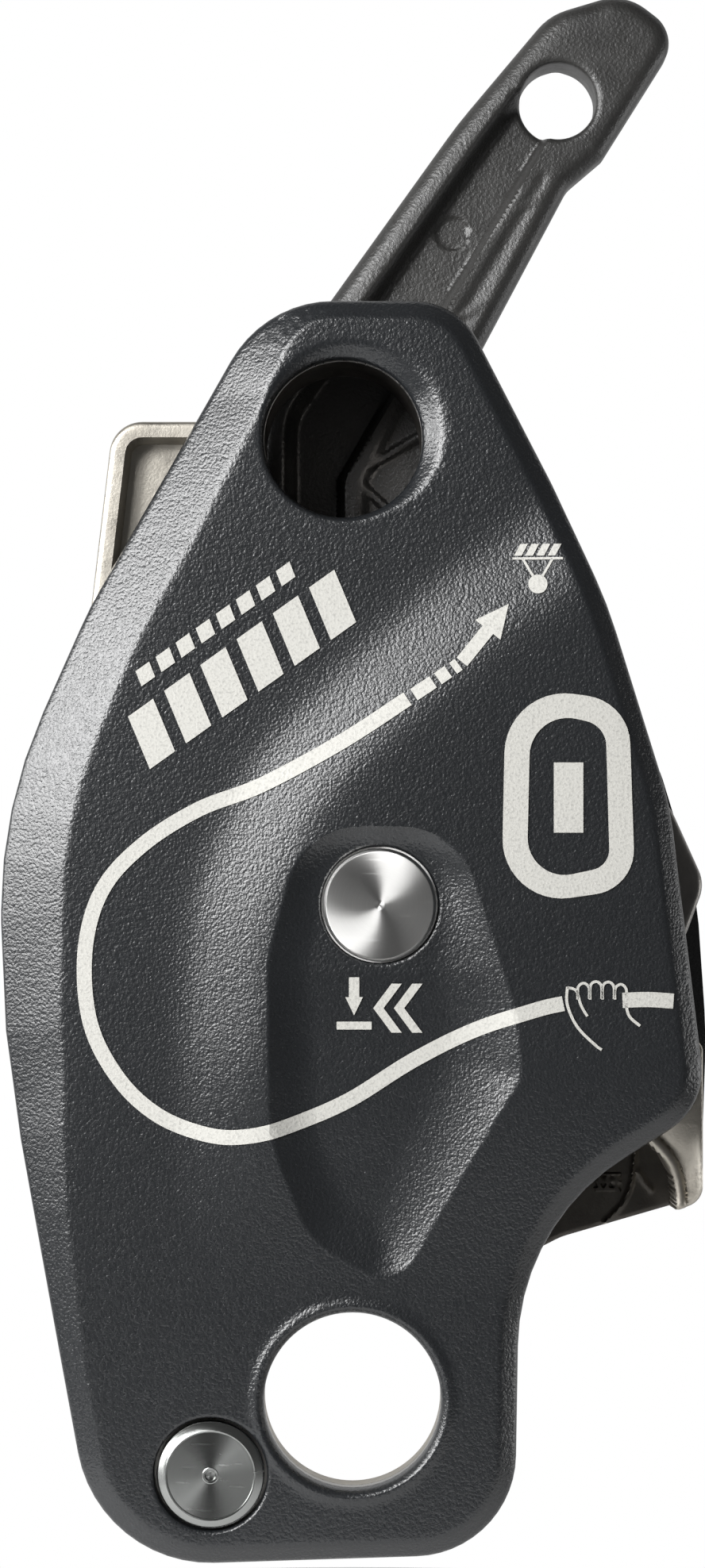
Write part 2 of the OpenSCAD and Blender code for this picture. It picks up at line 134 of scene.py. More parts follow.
def smooth_line(knots: list[tuple[float, float]], steps: int = 8) -> Loop:
    """Returns an open curve that passes through every knot (Catmull-Rom).

    Args:
        knots: the places that the curve passes through, in order.
        steps: the number of points from one knot to the next.

    Returns:
        The outline's points.
    """
    p = np.array([knots[0], *knots, knots[-1]], float)
    t = np.linspace(0, 1, steps, endpoint=False)[:, None]
    parts = []
    for a, b, c, d in zip(p, p[1:], p[2:], p[3:]):
        square, cube = (2 * a - 5 * b + 4 * c - d) * t**2, (3 * b - a - 3 * c + d) * t**3
        parts.append(0.5 * (2 * b + (c - a) * t + square + cube))
    return np.vstack([*parts, p[-1:]])


def stroke(line: Loop, width: float) -> Loop:
    """Turns an open line into the outline of a flat-ended band.

    Args:
        line: the band's middle line.
        width: the band's width in millimetres.

    Returns:
        The band's closed outline, counter-clockwise.
    """
    along = np.gradient(line, axis=0)
    along /= np.linalg.norm(along, axis=1)[:, None]
    side = np.column_stack([-along[:, 1], along[:, 0]]) * width / 2
    loop = np.vstack([line - side, (line + side)[::-1]])
    return loop if signed_area(loop) > 0 else loop[::-1]


def signed_area(loop: Loop) -> float:
    """Returns the loop's area, positive if it runs counter-clockwise."""
    x, z = loop.T
    return float(0.5 * np.sum(x * np.roll(z, -1) - z * np.roll(x, -1)))


def inside(points: np.ndarray, loop: Loop) -> np.ndarray:
    """Returns which points lie within a closed loop.

    Args:
        points: x and z of the points to look at.
        loop: a closed loop of points.

    Returns:
        One value or row for each point.
    """
    x, z = points[:, 0][:, None], points[:, 1][:, None]
    ax, az = loop.T
    bx, bz = np.roll(loop, -1, axis=0).T
    crosses = (az > z) != (bz > z)
    with np.errstate(divide="ignore", invalid="ignore"):
        at = ax + (z - az) * (bx - ax) / (bz - az)
    return np.sum(crosses & (x < at), axis=1) % 2 == 1


def nearest(points: np.ndarray, loop: Loop, closed: bool = True) -> tuple[np.ndarray, np.ndarray]:
    """Finds how far points are from a line.

    Args:
        points: the points to measure.
        loop: the line.
        closed: whether the last point joins the first.

    Returns:
        Each point's distance, and the outward normal of the stretch that is nearest to it.
    """
    a = loop if closed else loop[:-1]
    b = np.roll(loop, -1, axis=0) if closed else loop[1:]
    run = b - a
    length2 = np.maximum(np.sum(run**2, axis=1), 1e-12)
    normal = np.column_stack([run[:, 1], -run[:, 0]]) / np.sqrt(length2)[:, None]
    best = np.empty(len(points))
    which = np.empty(len(points), int)
    for first in range(0, len(points), 4000):
        part = points[first:first + 4000]
        t = np.clip(np.einsum("pkc,kc->pk", part[:, None] - a, run) / length2, 0, 1)
        gap = np.linalg.norm(part[:, None] - a - t[..., None] * run, axis=2)
        which[first:first + 4000] = gap.argmin(1)
        best[first:first + 4000] = gap.min(1)
    return best, normal[which]


def depth_in(points: np.ndarray, loop: Loop) -> np.ndarray:
    """Returns the distance from the loop, positive within it and negative outside."""
    return np.where(inside(points, loop), 1, -1) * nearest(points, loop)[0]


def ease(t: np.ndarray) -> np.ndarray:
    """Returns a smooth rise from 0 to 1 as t goes from 0 to 1."""
    t = np.clip(t, 0, 1)
    return t * t * (3 - 2 * t)


def edge_round(gap: np.ndarray, radius: float) -> np.ndarray:
    """Returns how far a quarter-round edge has dropped at a distance from it."""
    t = np.clip(gap / radius, 0, 1)
    return radius * (1 - np.sqrt(1 - (1 - t) ** 2))


# ---- Meshes ----------------------------------------------------------------------------------------

def new_piece(name: str, points: np.ndarray, faces: list, finish: bpy.types.Material,
              sharp: float = 38) -> bpy.types.Object:
    """Makes a mesh object from points in millimetres.

    Args:
        name: the piece's name.
        points: x, y and z of each point, in millimetres.
        faces: lists of point numbers.
        finish: the material that covers it.
        sharp: edges turned by more than this angle stay crisp, in degrees.

    Returns:
        The new object, linked to the scene.
    """
    mesh = bpy.data.meshes.new(name)
    mesh.from_pydata((np.asarray(points) * MM).tolist(), [], faces)
    mesh.validate()
    mesh.polygons.foreach_set("use_smooth", [True] * len(mesh.polygons))
    mesh.set_sharp_from_angle(angle=math.radians(sharp))
    mesh.materials.append(finish)
    piece = bpy.data.objects.new(name, mesh)
    bpy.context.scene.collection.objects.link(piece)
    return piece


@dataclass
class Sheet:
    """A triangulated plane region, which surfaces then lift into relief."""

    outline: Loop
    holes: list[Loop] = field(default_factory=list)
    creases: list[Loop] = field(default_factory=list)
    spacing: float = 1.2
    rings: tuple[float, ...] = (0.15, 0.4, 0.8, 1.4, 2.2)
    crease_rings: tuple[float, ...] = (0.0, 0.3, 0.7, 1.2)
    fine_regions: list[Loop] = field(default_factory=list)
    fine_spacing: float = 0.4
    edge_spacing: float = 0.9

    def triangles(self) -> tuple[np.ndarray, np.ndarray]:
        """Fills the region with well-shaped triangles.

        Returns:
            The points (x, z) and the triangles' point numbers, counter-clockwise.
        """
        loops = [evened(loop, self.edge_spacing) for loop in [self.outline, *self.holes]]
        points, edges = [], []
        for loop in loops:
            first = len(points)
            points += list(loop)
            edges += [(first + k, first + (k + 1) % len(loop)) for k in range(len(loop))]
        creases = [evened(crease, self.edge_spacing) for crease in self.creases]
        lines = [*loops, *creases]
        for line in loops:
            points += self._beside(line, self.rings, loops)
        for line in creases:
            points += self._beside(line, self.crease_rings, loops)
        grid = self._grid(self.outline, self.spacing)
        for region in self.fine_regions:
            grid = grid[~inside(grid, region)]
            fine = self._grid(region, self.fine_spacing)
            fine = fine[self._within(fine) & inside(fine, region)]
            clear = np.min([nearest(fine, loop)[0] for loop in loops], axis=0)
            points += list(fine[clear > self.fine_spacing * 0.4])
        clear = np.min([nearest(grid, line)[0] for line in lines], axis=0)
        reach = max([*self.rings, 0.3]) if not creases else max(self.crease_rings)
        points += list(grid[(clear > reach + 0.4) & self._within(grid)])
        made = delaunay_2d_cdt([Vector(p) for p in points], edges, [], 0, 1e-5)
        flat = np.array([(v.x, v.y) for v in made[0]])
        tris = np.array([t for t in made[2] if len(t) == 3])
        tris = tris[self._within(flat[tris].mean(1))]
        a, b, c = (flat[tris[:, k]] for k in range(3))
        turn = (b - a)[:, 0] * (c - a)[:, 1] - (b - a)[:, 1] * (c - a)[:, 0]
        tris[turn < 0] = tris[turn < 0][:, ::-1]
        return flat, tris

    @staticmethod
    def _grid(loop: Loop, spacing: float) -> np.ndarray:
        """Returns evenly staggered points over a loop's box.

        Args:
            loop: a closed loop of points.
            spacing: the distance between neighbouring points.

        Returns:
            One value or row for each point.
        """
        lo, hi = loop.min(0), loop.max(0)
        rows = np.arange(lo[1], hi[1], spacing * 0.87)
        across = np.arange(lo[0], hi[0], spacing)
        return np.array([(x + (k % 2) * spacing / 2, z) for k, z in enumerate(rows) for x in across])

    def _beside(self, line: Loop, rings: tuple[float, ...], edges: list[Loop]) -> list[np.ndarray]:
        """Returns rows of points that run beside a closed line.

        Args:
            line: the closed line to follow.
            rings: the distances of the rows from it.
            edges: the region's own edges, which the points keep clear of.

        Returns:
            The points that lie within the region.
        """
        ahead = np.roll(line, -1, axis=0) - np.roll(line, 1, axis=0)
        ahead /= np.maximum(np.linalg.norm(ahead, axis=1)[:, None], 1e-9)
        side = np.column_stack([-ahead[:, 1], ahead[:, 0]])
        found: list[np.ndarray] = []
        for ring in rings:
            for sign in (1, -1) if ring else (1,):
                row = line + sign * ring * side
                clear = np.min([nearest(row, edge)[0] for edge in edges], axis=0)
                keep = self._within(row) & (nearest(row, line)[0] >= ring * 0.9) & (clear > 0.08)
                found += list(row[keep])
        return found

    def _within(self, points: np.ndarray) -> np.ndarray:
        """Returns which points lie within the outline and outside every hole.

        Args:
            points: x and z of the points to look at.

        Returns:
            One value or row for each point.
        """
        keep = inside(points, self.outline)
        for hole in self.holes:
            keep &= ~inside(points, hole)
        return keep


def relief(name: str, sheet: Sheet, front: Surface, back: Surface,
           finish: bpy.types.Material) -> bpy.types.Object:
    """Makes a closed solid between two relief surfaces over one plane region.

    Args:
        name: the piece's name.
        sheet: the region seen from the front.
        front: gives the front's depth (y) at plane points.
        back: gives the back's depth at plane points.
        finish: the material that covers it.

    Returns:
        The new object.
    """
    flat, tris = sheet.triangles()
    n = len(flat)
    near = np.column_stack([flat[:, 0], front(flat), flat[:, 1]])
    far = np.column_stack([flat[:, 0], back(flat), flat[:, 1]])
    seen: dict[tuple[int, int], tuple[int, int]] = {}
    for t in tris:
        for a, b in ((t[0], t[1]), (t[1], t[2]), (t[2], t[0])):
            key = (min(a, b), max(a, b))
            if key in seen:
                del seen[key]
            else:
                seen[key] = (int(a), int(b))
    faces = [*tris.tolist(), *(tris[:, ::-1] + n).tolist()]
    faces += [[b, a, a + n, b + n] for a, b in seen.values()]
    return new_piece(name, np.vstack([near, far]), faces, finish)


def lathe(name: str, centre: tuple[float, float], profile: list[tuple[float, float]],
          finish: bpy.types.Material, sides: int = 128) -> bpy.types.Object:
    """Turns a profile about an axis that runs in depth.

    Args:
        name: the piece's name.
        centre: x and z of the axis.
        profile: radius and depth of each point, from the front centre round to the back centre.
        finish: the material that covers it.
        sides: the number of facets round it.

    Returns:
        The new object.
    """
    angles = np.linspace(0, 2 * math.pi, sides, endpoint=False)
    points, rows = [], []
    for radius, depth in profile:
        if radius < 1e-6:
            rows.append([len(points)] * sides)
            points.append((centre[0], depth, centre[1]))
        else:
            rows.append(list(range(len(points), len(points) + sides)))
            points += [(centre[0] + radius * math.cos(a), depth, centre[1] + radius * math.sin(a))
                       for a in angles]
    faces = []
    pairs = list(zip(rows, rows[1:]))
    if profile[0][0] > 1e-6 and profile[-1][0] > 1e-6:
        pairs.append((rows[-1], rows[0]))
    for near, far in pairs:
        for k in range(sides):
            m = (k + 1) % sides
            corners = [near[k], far[k], far[m], near[m]]
            faces.append([c for i, c in enumerate(corners) if c not in corners[:i]])
    return new_piece(name, np.array(points), faces, finish, sharp=28)


def coil(name: str, node: str, wire: float, turns: float, finish: bpy.types.Material) -> bpy.types.Object:
    """Winds a compression spring that fills a node's box, about an axis that runs in depth.

    Args:
        name: the piece's name.
        node: the node that it stands for.
        wire: the wire's thickness.
        turns: the number of open turns; the two end turns lie flat.
        finish: the material that covers it.

    Returns:
        The new object.
    """
    lo, hi = node_span(node)
    centre, mean = node_axis(node), (hi[0] - lo[0] - wire) / 2
    around = np.linspace(0, 2 * math.pi * (turns + 2), int(32 * (turns + 2)) + 1)
    climb = np.clip((around / (2 * math.pi) - 1) / turns, 0, 1)
    depth = lo[1] + wire / 2 + climb * (hi[1] - lo[1] - wire)
    section = np.linspace(0, 2 * math.pi, 10, endpoint=False)
    points, faces = [], []
    for turn, y in zip(around, depth):
        radius = mean + wire / 2 * np.cos(section)
        points += np.column_stack([centre[0] + radius * math.cos(turn), y + wire / 2 * np.sin(section),
                                   centre[1] + radius * math.sin(turn)]).tolist()
    for k in range(len(around) - 1):
        for m in range(10):
            a, b = 10 * k + m, 10 * k + (m + 1) % 10
            faces.append([a, b, b + 10, a + 10])
    faces += [list(range(9, -1, -1)), list(range(len(points) - 10, len(points)))]
    return new_piece(name, np.array(points), faces, finish, sharp=60)


def node_span(node: str) -> tuple[np.ndarray, np.ndarray]:
    """Returns a node's lowest and highest corner, in millimetres."""
    lo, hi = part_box(node)
    return np.array(lo) / MM, np.array(hi) / MM


def node_axis(node: str) -> tuple[float, float]:
    """Returns x and z of the middle of a node, in millimetres."""
    lo, hi = node_span(node)
    return float(lo[0] + hi[0]) / 2, float(lo[2] + hi[2]) / 2


# ---- Finishes --------------------------------------------------------------------------------------

class Nodes:
    """A small helper that wires one material's nodes."""

    def __init__(self, name: str) -> None:
        """Starts an empty material with a shader and an output.

        Args:
            name: its name.
        """
        self.material = bpy.data.materials.new(name)
        self.material.use_nodes = True
        self.tree = self.material.node_tree
        self.shader = self.tree.nodes["Principled BSDF"]
        self.coordinates = self.tree.nodes.new("ShaderNodeTexCoord")

    def add(self, kind: str, links: dict | None = None, **settings: object) -> bpy.types.Node:
        """Adds a node.

        Args:
            kind: the node's type, without its ShaderNode prefix.
            links: what feeds each input: a socket, or a plain value.
            settings: attributes to set on the node.

        Returns:
            The new node.
        """
        node = self.tree.nodes.new("ShaderNode" + kind)
        for key, value in settings.items():
            setattr(node, key, value)
        for key, value in (links or {}).items():
            if isinstance(value, bpy.types.NodeSocket):
                self.tree.links.new(value, node.inputs[key])
            else:
                node.inputs[key].default_value = value
        return node

    def noise(self, size_mm: float, detail: float = 2.0, roughness: float = 0.5) -> bpy.types.NodeSocket:
        """Returns a noise value whose lumps measure about size_mm.

        Args:
            size_mm: the size of one lump.
            detail: how many finer layers it has.
            roughness: how strong the finer layers are.

        Returns:
            The socket that carries it.
        """
        links = {"Vector": self.coordinates.outputs["Object"], "Scale": 1 / (size_mm * MM),
                 "Detail": detail, "Roughness": roughness}
        return self.add("TexNoise", links).outputs["Fac"]

    def spread(self, value: bpy.types.NodeSocket, low: float, high: float,
               start: float = 0.3, end: float = 0.7) -> bpy.types.NodeSocket:
        """Returns the value stretched so that start to end becomes low to high."""
        links = {"Value": value, "From Min": start, "From Max": end, "To Min": low, "To Max": high}
        return self.add("MapRange", links).outputs["Result"]

    def blend(self, factor: bpy.types.NodeSocket, first: tuple, second: tuple) -> bpy.types.NodeSocket:
        """Returns a colour between two colours.

        Args:
            factor: 0 for the first colour and 1 for the second.
            first: the first colour.
            second: the second colour.

        Returns:
            The socket that carries it.
        """
        node = self.add("Mix", {"Factor": factor}, data_type="RGBA")
        node.inputs["A"].default_value = (*first, 1)
        node.inputs["B"].default_value = (*second, 1)
        return node.outputs["Result"]

    def bump(self, height: bpy.types.NodeSocket, depth_mm: float, strength: float = 1.0,
             under: bpy.types.NodeSocket | None = None) -> bpy.types.NodeSocket:
        """Returns a normal that shows the height as relief of depth_mm.

        Args:
            height: the relief's height.
            depth_mm: how deep the relief is.
            strength: how much of it shows.
            under: a normal that lies beneath, if any.

        Returns:
            The socket that carries it.
        """
        links = {"Height": height, "Distance": depth_mm * MM, "Strength": strength}
        if under is not None:
            links["Normal"] = under
        return self.add("Bump", links).outputs["Normal"]

    def feed(self, socket: str, value: object) -> None:
        """Sets or links one of the shader's own sockets.

        Args:
            socket: the name of the shader's input.
            value: the value to stretch, or the value to set.
        """
        if isinstance(value, bpy.types.NodeSocket):
            self.tree.links.new(value, self.shader.inputs[socket])
        else:
            self.shader.inputs[socket].default_value = value


@dataclass(frozen=True)
class GrainedMoulding:
    """A moulded plastic with a fine leather grain."""

    name: str
    colour: tuple[float, float, float]
    worn: tuple[float, float, float]
    grain_mm: float = 0.35
    grain_depth_mm: float = 0.085
    shine: tuple[float, float] = (0.27, 0.35)
    specular: float = 0.8

    def make(self) -> bpy.types.Material:
        """Returns the material.

        Returns:
            The material.
        """
        n = Nodes(self.name)
        patches = n.noise(38, 3, 0.6)
        specks = n.noise(0.35, 1.5)
        tone = n.blend(n.spread(patches, 0, 1), self.colour, self.worn)
        n.feed("Base Color", tone)
        n.feed("Roughness", n.spread(specks, self.shine[0], self.shine[1]))
        n.feed("Specular IOR Level", self.specular)
        swell = n.bump(n.noise(self.grain_mm * 3, 1), self.grain_depth_mm, 0.3)
        n.feed("Normal", n.bump(n.noise(self.grain_mm, 1, 0.5), self.grain_depth_mm, 1.0, swell))
        return n.material


@dataclass(frozen=True)
class BlastedCasting:
    """A bead-blasted casting: a warm matt metal with a soft sparkle."""

    name: str
    colour: tuple[float, float, float]
    dark: tuple[float, float, float]
    shine: tuple[float, float] = (0.36, 0.52)
    metal: float = 1.0
    grit_mm: float = 0.35
    grit_depth_mm: float = 0.035
    specular: float = 0.5

    def make(self) -> bpy.types.Material:
        """Returns the material.

        Returns:
            The material.
        """
        n = Nodes(self.name)
        n.feed("Metallic", self.metal)
        n.feed("Specular IOR Level", self.specular)
        n.feed("Base Color", n.blend(n.spread(n.noise(9, 4, 0.65), 0, 1, 0.35, 0.65), self.colour, self.dark))
        n.feed("Roughness", n.spread(n.noise(2.5, 3), self.shine[0], self.shine[1]))
        waves = n.bump(n.noise(3.5, 2), 0.05, 0.5)
        n.feed("Normal", n.bump(n.noise(self.grit_mm, 2, 0.6), self.grit_depth_mm, 0.7, waves))
        return n.material


@dataclass(frozen=True)
class TurnedSteel:
    """Stainless steel faced on a lathe, with fine rings about an axis that runs in depth."""

    name: str
    centre: tuple[float, float]
    colour: tuple[float, float, float]
    shine: tuple[float, float] = (0.33, 0.37)
    ring_mm: float = 0.16
    ring_depth_mm: float = 0.0005
    pull: float = 0.9
    scratched: float = 0.12

    def make(self) -> bpy.types.Material:
        """Returns the material.

        Returns:
            The material.
        """
        n = Nodes(self.name)
        shift = (-self.centre[0] * MM, 0, -self.centre[1] * MM)
        moved = n.add("VectorMath", {0: n.coordinates.outputs["Object"], 1: shift}, operation="ADD")
        flat = n.add("VectorMath", {0: moved.outputs["Vector"], 1: (1, 0, 1)}, operation="MULTIPLY")
        radius = n.add("VectorMath", {0: flat.outputs["Vector"]}, operation="LENGTH").outputs["Value"]
        spot = n.add("CombineXYZ", {"X": radius}).outputs["Vector"]
        fine = {"Vector": spot, "Scale": 1 / (self.ring_mm * MM), "Detail": 3.0}
        rings = n.add("TexNoise", fine).outputs["Fac"]
        stretched = n.add("Mapping", {"Vector": flat.outputs["Vector"], "Rotation": (0, 0.6, 0),
                                      "Scale": (180, 1, 2600)}).outputs["Vector"]
        marks = n.add("TexNoise", {"Vector": stretched, "Scale": 1.0, "Detail": 1.0}).outputs["Fac"]
        scratches = n.spread(marks, 0, self.scratched, 0.66, 0.76)
        n.feed("Metallic", 1.0)
        darker = tuple(0.95 * c for c in self.colour)
        n.feed("Base Color", n.blend(n.spread(rings, 0, 1, 0.35, 0.65), self.colour, darker))
        rough = n.spread(rings, self.shine[0], self.shine[1], 0.35, 0.65)
        n.feed("Roughness", n.add("Math", {0: rough, 1: scratches}, operation="ADD").outputs["Value"])
        n.feed("Anisotropic", self.pull)
        n.feed("Tangent", n.add("Tangent", direction_type="RADIAL", axis="Y").outputs["Tangent"])
        n.feed("Normal", n.bump(rings, self.ring_depth_mm, 0.6))
        return n.material


@dataclass(frozen=True)
class PlainMetal:
    """A bright or bronze metal with fine rolling marks and light tarnish."""

    name: str
    colour: tuple[float, float, float]
    tarnish: tuple[float, float, float]
    shine: tuple[float, float] = (0.25, 0.42)

    def make(self) -> bpy.types.Material:
        """Returns the material.

        Returns:
            The material.
        """
        n = Nodes(self.name)
        n.feed("Metallic", 1.0)
        n.feed("Base Color", n.blend(n.spread(n.noise(5, 4, 0.6), 0, 1), self.colour, self.tarnish))
        drawn = n.add("Mapping", {"Vector": n.coordinates.outputs["Object"], "Scale": (6000, 6000, 500)})
        drawn_noise = {"Vector": drawn.outputs["Vector"], "Scale": 1.0, "Detail": 2.0}
        marks = n.add("TexNoise", drawn_noise).outputs["Fac"]
        n.feed("Roughness", n.spread(marks, self.shine[0], self.shine[1]))
        n.feed("Normal", n.bump(marks, 0.006, 0.5))
        return n.material


@dataclass(frozen=True)
class PadPrint:
    """Off-white ink that lies in the moulding's grain, thin on the tops of the grains."""

    name: str
    colour: tuple[float, float, float]
    thin: tuple[float, float, float]
    grain: GrainedMoulding

    def make(self) -> bpy.types.Material:
        """Returns the material.

        Returns:
            The material.
        """
        n = Nodes(self.name)
        grain = n.noise(self.grain.grain_mm, 1, 0.5)
        n.feed("Base Color", n.blend(n.spread(grain, 0, 1, 0.5, 0.78), self.colour, self.thin))
        n.feed("Roughness", n.spread(n.noise(1.2), 0.5, 0.62))
        n.feed("Specular IOR Level", 0.35)
        n.feed("Normal", n.bump(grain, self.grain.grain_depth_mm, 0.5))
        return n.material


@dataclass
class Finishes:
    """Every finish on the device, made once."""

    cover: bpy.types.Material
    cover_print: bpy.types.Material
    black_moulding: bpy.types.Material
    black_casting: bpy.types.Material
    frame_casting: bpy.types.Material
    # painted shade: a darker copy of the casting finish, standing in for the cover's shadow on the frame's
    # lower-right flat
    dark_skin: bpy.types.Material
    cam_casting: bpy.types.Material
    button: bpy.types.Material
    pin_face: bpy.types.Material
    plate: bpy.types.Material
    screw: bpy.types.Material
    wire: bpy.types.Material
    bronze: bpy.types.Material
    dark_steel: bpy.types.Material

    @classmethod
    def mix(cls) -> "Finishes":
        """Returns the whole set.

        Returns:
            The finishes.
        """
        slate = GrainedMoulding("slate_moulding", (0.0115, 0.0128, 0.0145), (0.0145, 0.016, 0.018))
        ink = PadPrint("pad_print", (0.58, 0.572, 0.535), (0.43, 0.425, 0.4), slate)
        rear = GrainedMoulding("black_moulding", (0.009, 0.009, 0.0095), (0.013, 0.013, 0.0135), 0.45, 0.07)
        return cls(
            cover=slate.make(),
            cover_print=ink.make(),
            black_moulding=rear.make(),
            black_casting=BlastedCasting("black_casting", (0.032, 0.0312, 0.0295), (0.024, 0.0235, 0.0225),
                                         (0.36, 0.46), 0.0, 0.42, 0.13, 0.85).make(),
            frame_casting=BlastedCasting("grey_casting", (0.56, 0.53, 0.47), (0.44, 0.41, 0.36)).make(),
            # painted shade: a dark casting finish for the lower-right flat, standing in for the shadow the cover
            # throws there
            dark_skin=BlastedCasting("dark_skin", (0.1, 0.093, 0.083), (0.065, 0.06, 0.054),
                                     (0.42, 0.55)).make(),
            cam_casting=BlastedCasting("cam_casting", (0.27, 0.26, 0.245), (0.2, 0.19, 0.18),
                                       (0.28, 0.42)).make(),
            button=TurnedSteel("turned_button", node_axis("lock_button"), (0.74, 0.735, 0.72)).make(),
            pin_face=TurnedSteel("turned_pin", node_axis("pivot_pin"), (0.4, 0.41, 0.4), (0.22, 0.26)).make(),
            plate=PlainMetal("plate_steel", (0.5, 0.49, 0.47), (0.4, 0.39, 0.37)).make(),
            screw=PlainMetal("screw_steel", (0.5, 0.5, 0.49), (0.35, 0.34, 0.33)).make(),
            wire=PlainMetal("spring_wire", (0.4, 0.4, 0.4), (0.28, 0.27, 0.26)).make(),
            bronze=PlainMetal("sintered_bronze", (0.55, 0.36, 0.16), (0.36, 0.22, 0.1), (0.35, 0.55)).make(),
            dark_steel=PlainMetal("blackened_steel", (0.3, 0.28, 0.26), (0.16, 0.15, 0.14), (0.3, 0.45)).make(),
        )


# ---- The cover and its signs -----------------------------------------------------------------------

COVER_CORNERS: list[Corner] = [
    (-32.1, -21.2, 17), (20.5, -19.5, 13), (21.2, 22.4, 29), (44.6, 37.2, 9), (39.9, 75.5, 40),
    (32.1, 100.5, 60), (25.3, 115.7, 50), (13.3, 139, 9), (-11.1, 139.1, 15), (-33.3, 100.4, 60),
    (-44.6, 75, 62), (-44.6, 46.5, 150),
]


@dataclass
class CoverShape:
    """The moulded face of the side plate: bevel, slanting step, thumb valley and dished holes."""

    face: float
    button: tuple[float, float]
    pin: tuple[float, float]
    upper: tuple[float, float]
    upper_r: float
    connector_r: float
    button_hole_r: float = 7.34
    pin_hole_r: float = 7.15
    rise: float = 2.75
    narrow_bevel: float = 2.3
    narrow_drop: float = 1.8
    wide_drop: float = 3.1
    edge_radius: float = 0.5
    # Width of the left-hand bevel at heights up the cover
    bevel_heights: tuple[float, ...] = (-14, 6, 24, 42, 60, 75, 92, 110, 127, 138)
    bevel_widths: tuple[float, ...] = (2.8, 2.9, 4.2, 6.8, 8.0, 7.9, 7.5, 7.3, 6.3, 4.2)
    # The slanting step's middle line, from the top right down to the lower left
    step_line: tuple[tuple[float, float], ...] = (
        (40, 122), (26, 108), (13.5, 98.8), (0.5, 87.2), (-6.8, 79.4), (-10.8, 72.4), (-14.2, 64),
        (-15.6, 56), (-16.2, 42), (-16.0, 26), (-15.5, 5),
    )
    step_half: float = 5.2
    valley: tuple[Corner, ...] = (
        (5.6, 14.2, 4.5), (21.3, 41.3, 3.5), (20.4, 49.5, 12), (17.8, 58, 18), (12.8, 72.6, 9.5),
        (-6.2, 72.6, 9.5), (-10.6, 56, 12), (-10.4, 33, 25), (-5.4, 20.5, 10),
    )
    valley_drop: float = 2.4

    def __post_init__(self) -> None:
        """Works out the loops that the relief follows."""
        self.outline = rounded(COVER_CORNERS)
        self.valley_loop = rounded(list(self.valley))
        self.step = smooth_line(list(self.step_line), 10)
        self.connector = (0.0, 0.0)

    def depth(self, p: np.ndarray) -> np.ndarray:
        """Returns the face's depth at plane points; smaller is nearer the front.

        Args:
            p: x and z of the points to look at, in millimetres.

        Returns:
            One value or row for each point.
        """
        y = np.full(len(p), self.face)
        y -= self._raised(p)
        y += self._valley(p)
        y += self._dish(p)
        y += self._bevel(p)
        y -= self._lip(p)
        for centre, radius, edge in (
            (self.button, self.button_hole_r, 0.5), (self.pin, self.pin_hole_r, 0.5),
            (self.upper, self.upper_r, 0.7), (self.connector, self.connector_r, 0.8),
        ):
            y += edge_round(np.linalg.norm(p - centre, axis=1) - radius, edge)
        return y

    def _raised(self, p: np.ndarray) -> np.ndarray:
        """Returns how far the middle stands up, right of and below the slanting step.

        Args:
            p: x and z of the points to look at, in millimetres.

        Returns:
            One value or row for each point.
        """
        gap, _ = nearest(p, self.step, closed=False)
        beyond = self._side_of_step(p) * gap
        fade = ease((p[:, 1] - 12) / 34)
        t = (beyond + self.step_half) / (2 * self.step_half)
        soft = 0.05
        return self.rise * fade * 0.5 * (np.sqrt(t**2 + soft) - np.sqrt((t - 1) ** 2 + soft) + 1)

    def _side_of_step(self, p: np.ndarray) -> np.ndarray:
        """Returns +1 for points right of or below the step's line and -1 for the rest.

        Args:
            p: x and z of the points to look at, in millimetres.

        Returns:
            One value or row for each point.
        """
        lo, hi = self.outline.min(0) - 30, self.outline.max(0) + 30
        below = [(self.step[-1][0], lo[1]), (hi[0], lo[1]), (hi[0], self.step[0][1])]
        region = np.vstack([self.step, below])
        return np.where(inside(p, region), 1, -1)

    def _valley(self, p: np.ndarray) -> np.ndarray:
        """Returns how deep the thumb valley is.

        Args:
            p: x and z of the points to look at, in millimetres.

        Returns:
            One value or row for each point.
        """
        gap, normal = nearest(p, self.valley_loop)
        right = np.interp(p[:, 1], [16, 30, 42, 54, 64, 72], [5.5, 9, 10, 8.5, 4.6, 3.2])
        left = np.interp(p[:, 1], [16, 30, 60, 72], [6.5, 6, 5, 3.2])
        turn = ease(normal[:, 0] * 0.5 + 0.5)
        width = left * (1 - turn) + right * turn
        drop = self.valley_drop * np.interp(p[:, 1], [15, 30, 45, 54], [0.55, 0.9, 1, 0.7])
        t = np.clip(gap / width, 0, 1)
        return np.where(inside(p, self.valley_loop), drop * (1 - (1 - t) ** 1.6) * ease(gap / 0.4 + 0.45), 0)

    def _dish(self, p: np.ndarray) -> np.ndarray:
        """Returns the dished rim of the upper hole, widest at the top and the right.

        Args:
            p: x and z of the points to look at, in millimetres.

        Returns:
            One value or row for each point.
        """
        away = p - np.array(self.upper)
        gap = np.linalg.norm(away, axis=1)
        angle = np.degrees(np.arctan2(away[:, 1], away[:, 0]))
        width = np.interp(angle, [-180, -120, -60, -15, 30, 75, 120, 160, 180],
                          [0.4, 0.5, 1.0, 3.0, 3.8, 2.9, 2.0, 0.8, 0.4])
        return 0.45 * width * (1 - ease((gap - self.upper_r) / np.maximum(width, 0.4))) ** 1.3

    def _bevel_width(self, heights: np.ndarray, normals: np.ndarray) -> tuple[np.ndarray, np.ndarray]:
        """Works out the edge facet's width.

        Args:
            heights: z of the places to look at.
            normals: the outline's outward normals there.

        Returns:
            The facet's width, and how much it belongs to the wide left-hand facet, from 0 to 1.
        """
        left = ease((-normals[:, 0] - 0.05) / 0.75)
        wide = np.interp(heights, self.bevel_heights, self.bevel_widths)
        grow = np.clip((wide - self.narrow_bevel) / 4, 0, 1) * left
        return self.narrow_bevel * (1 - left) + wide * left, grow

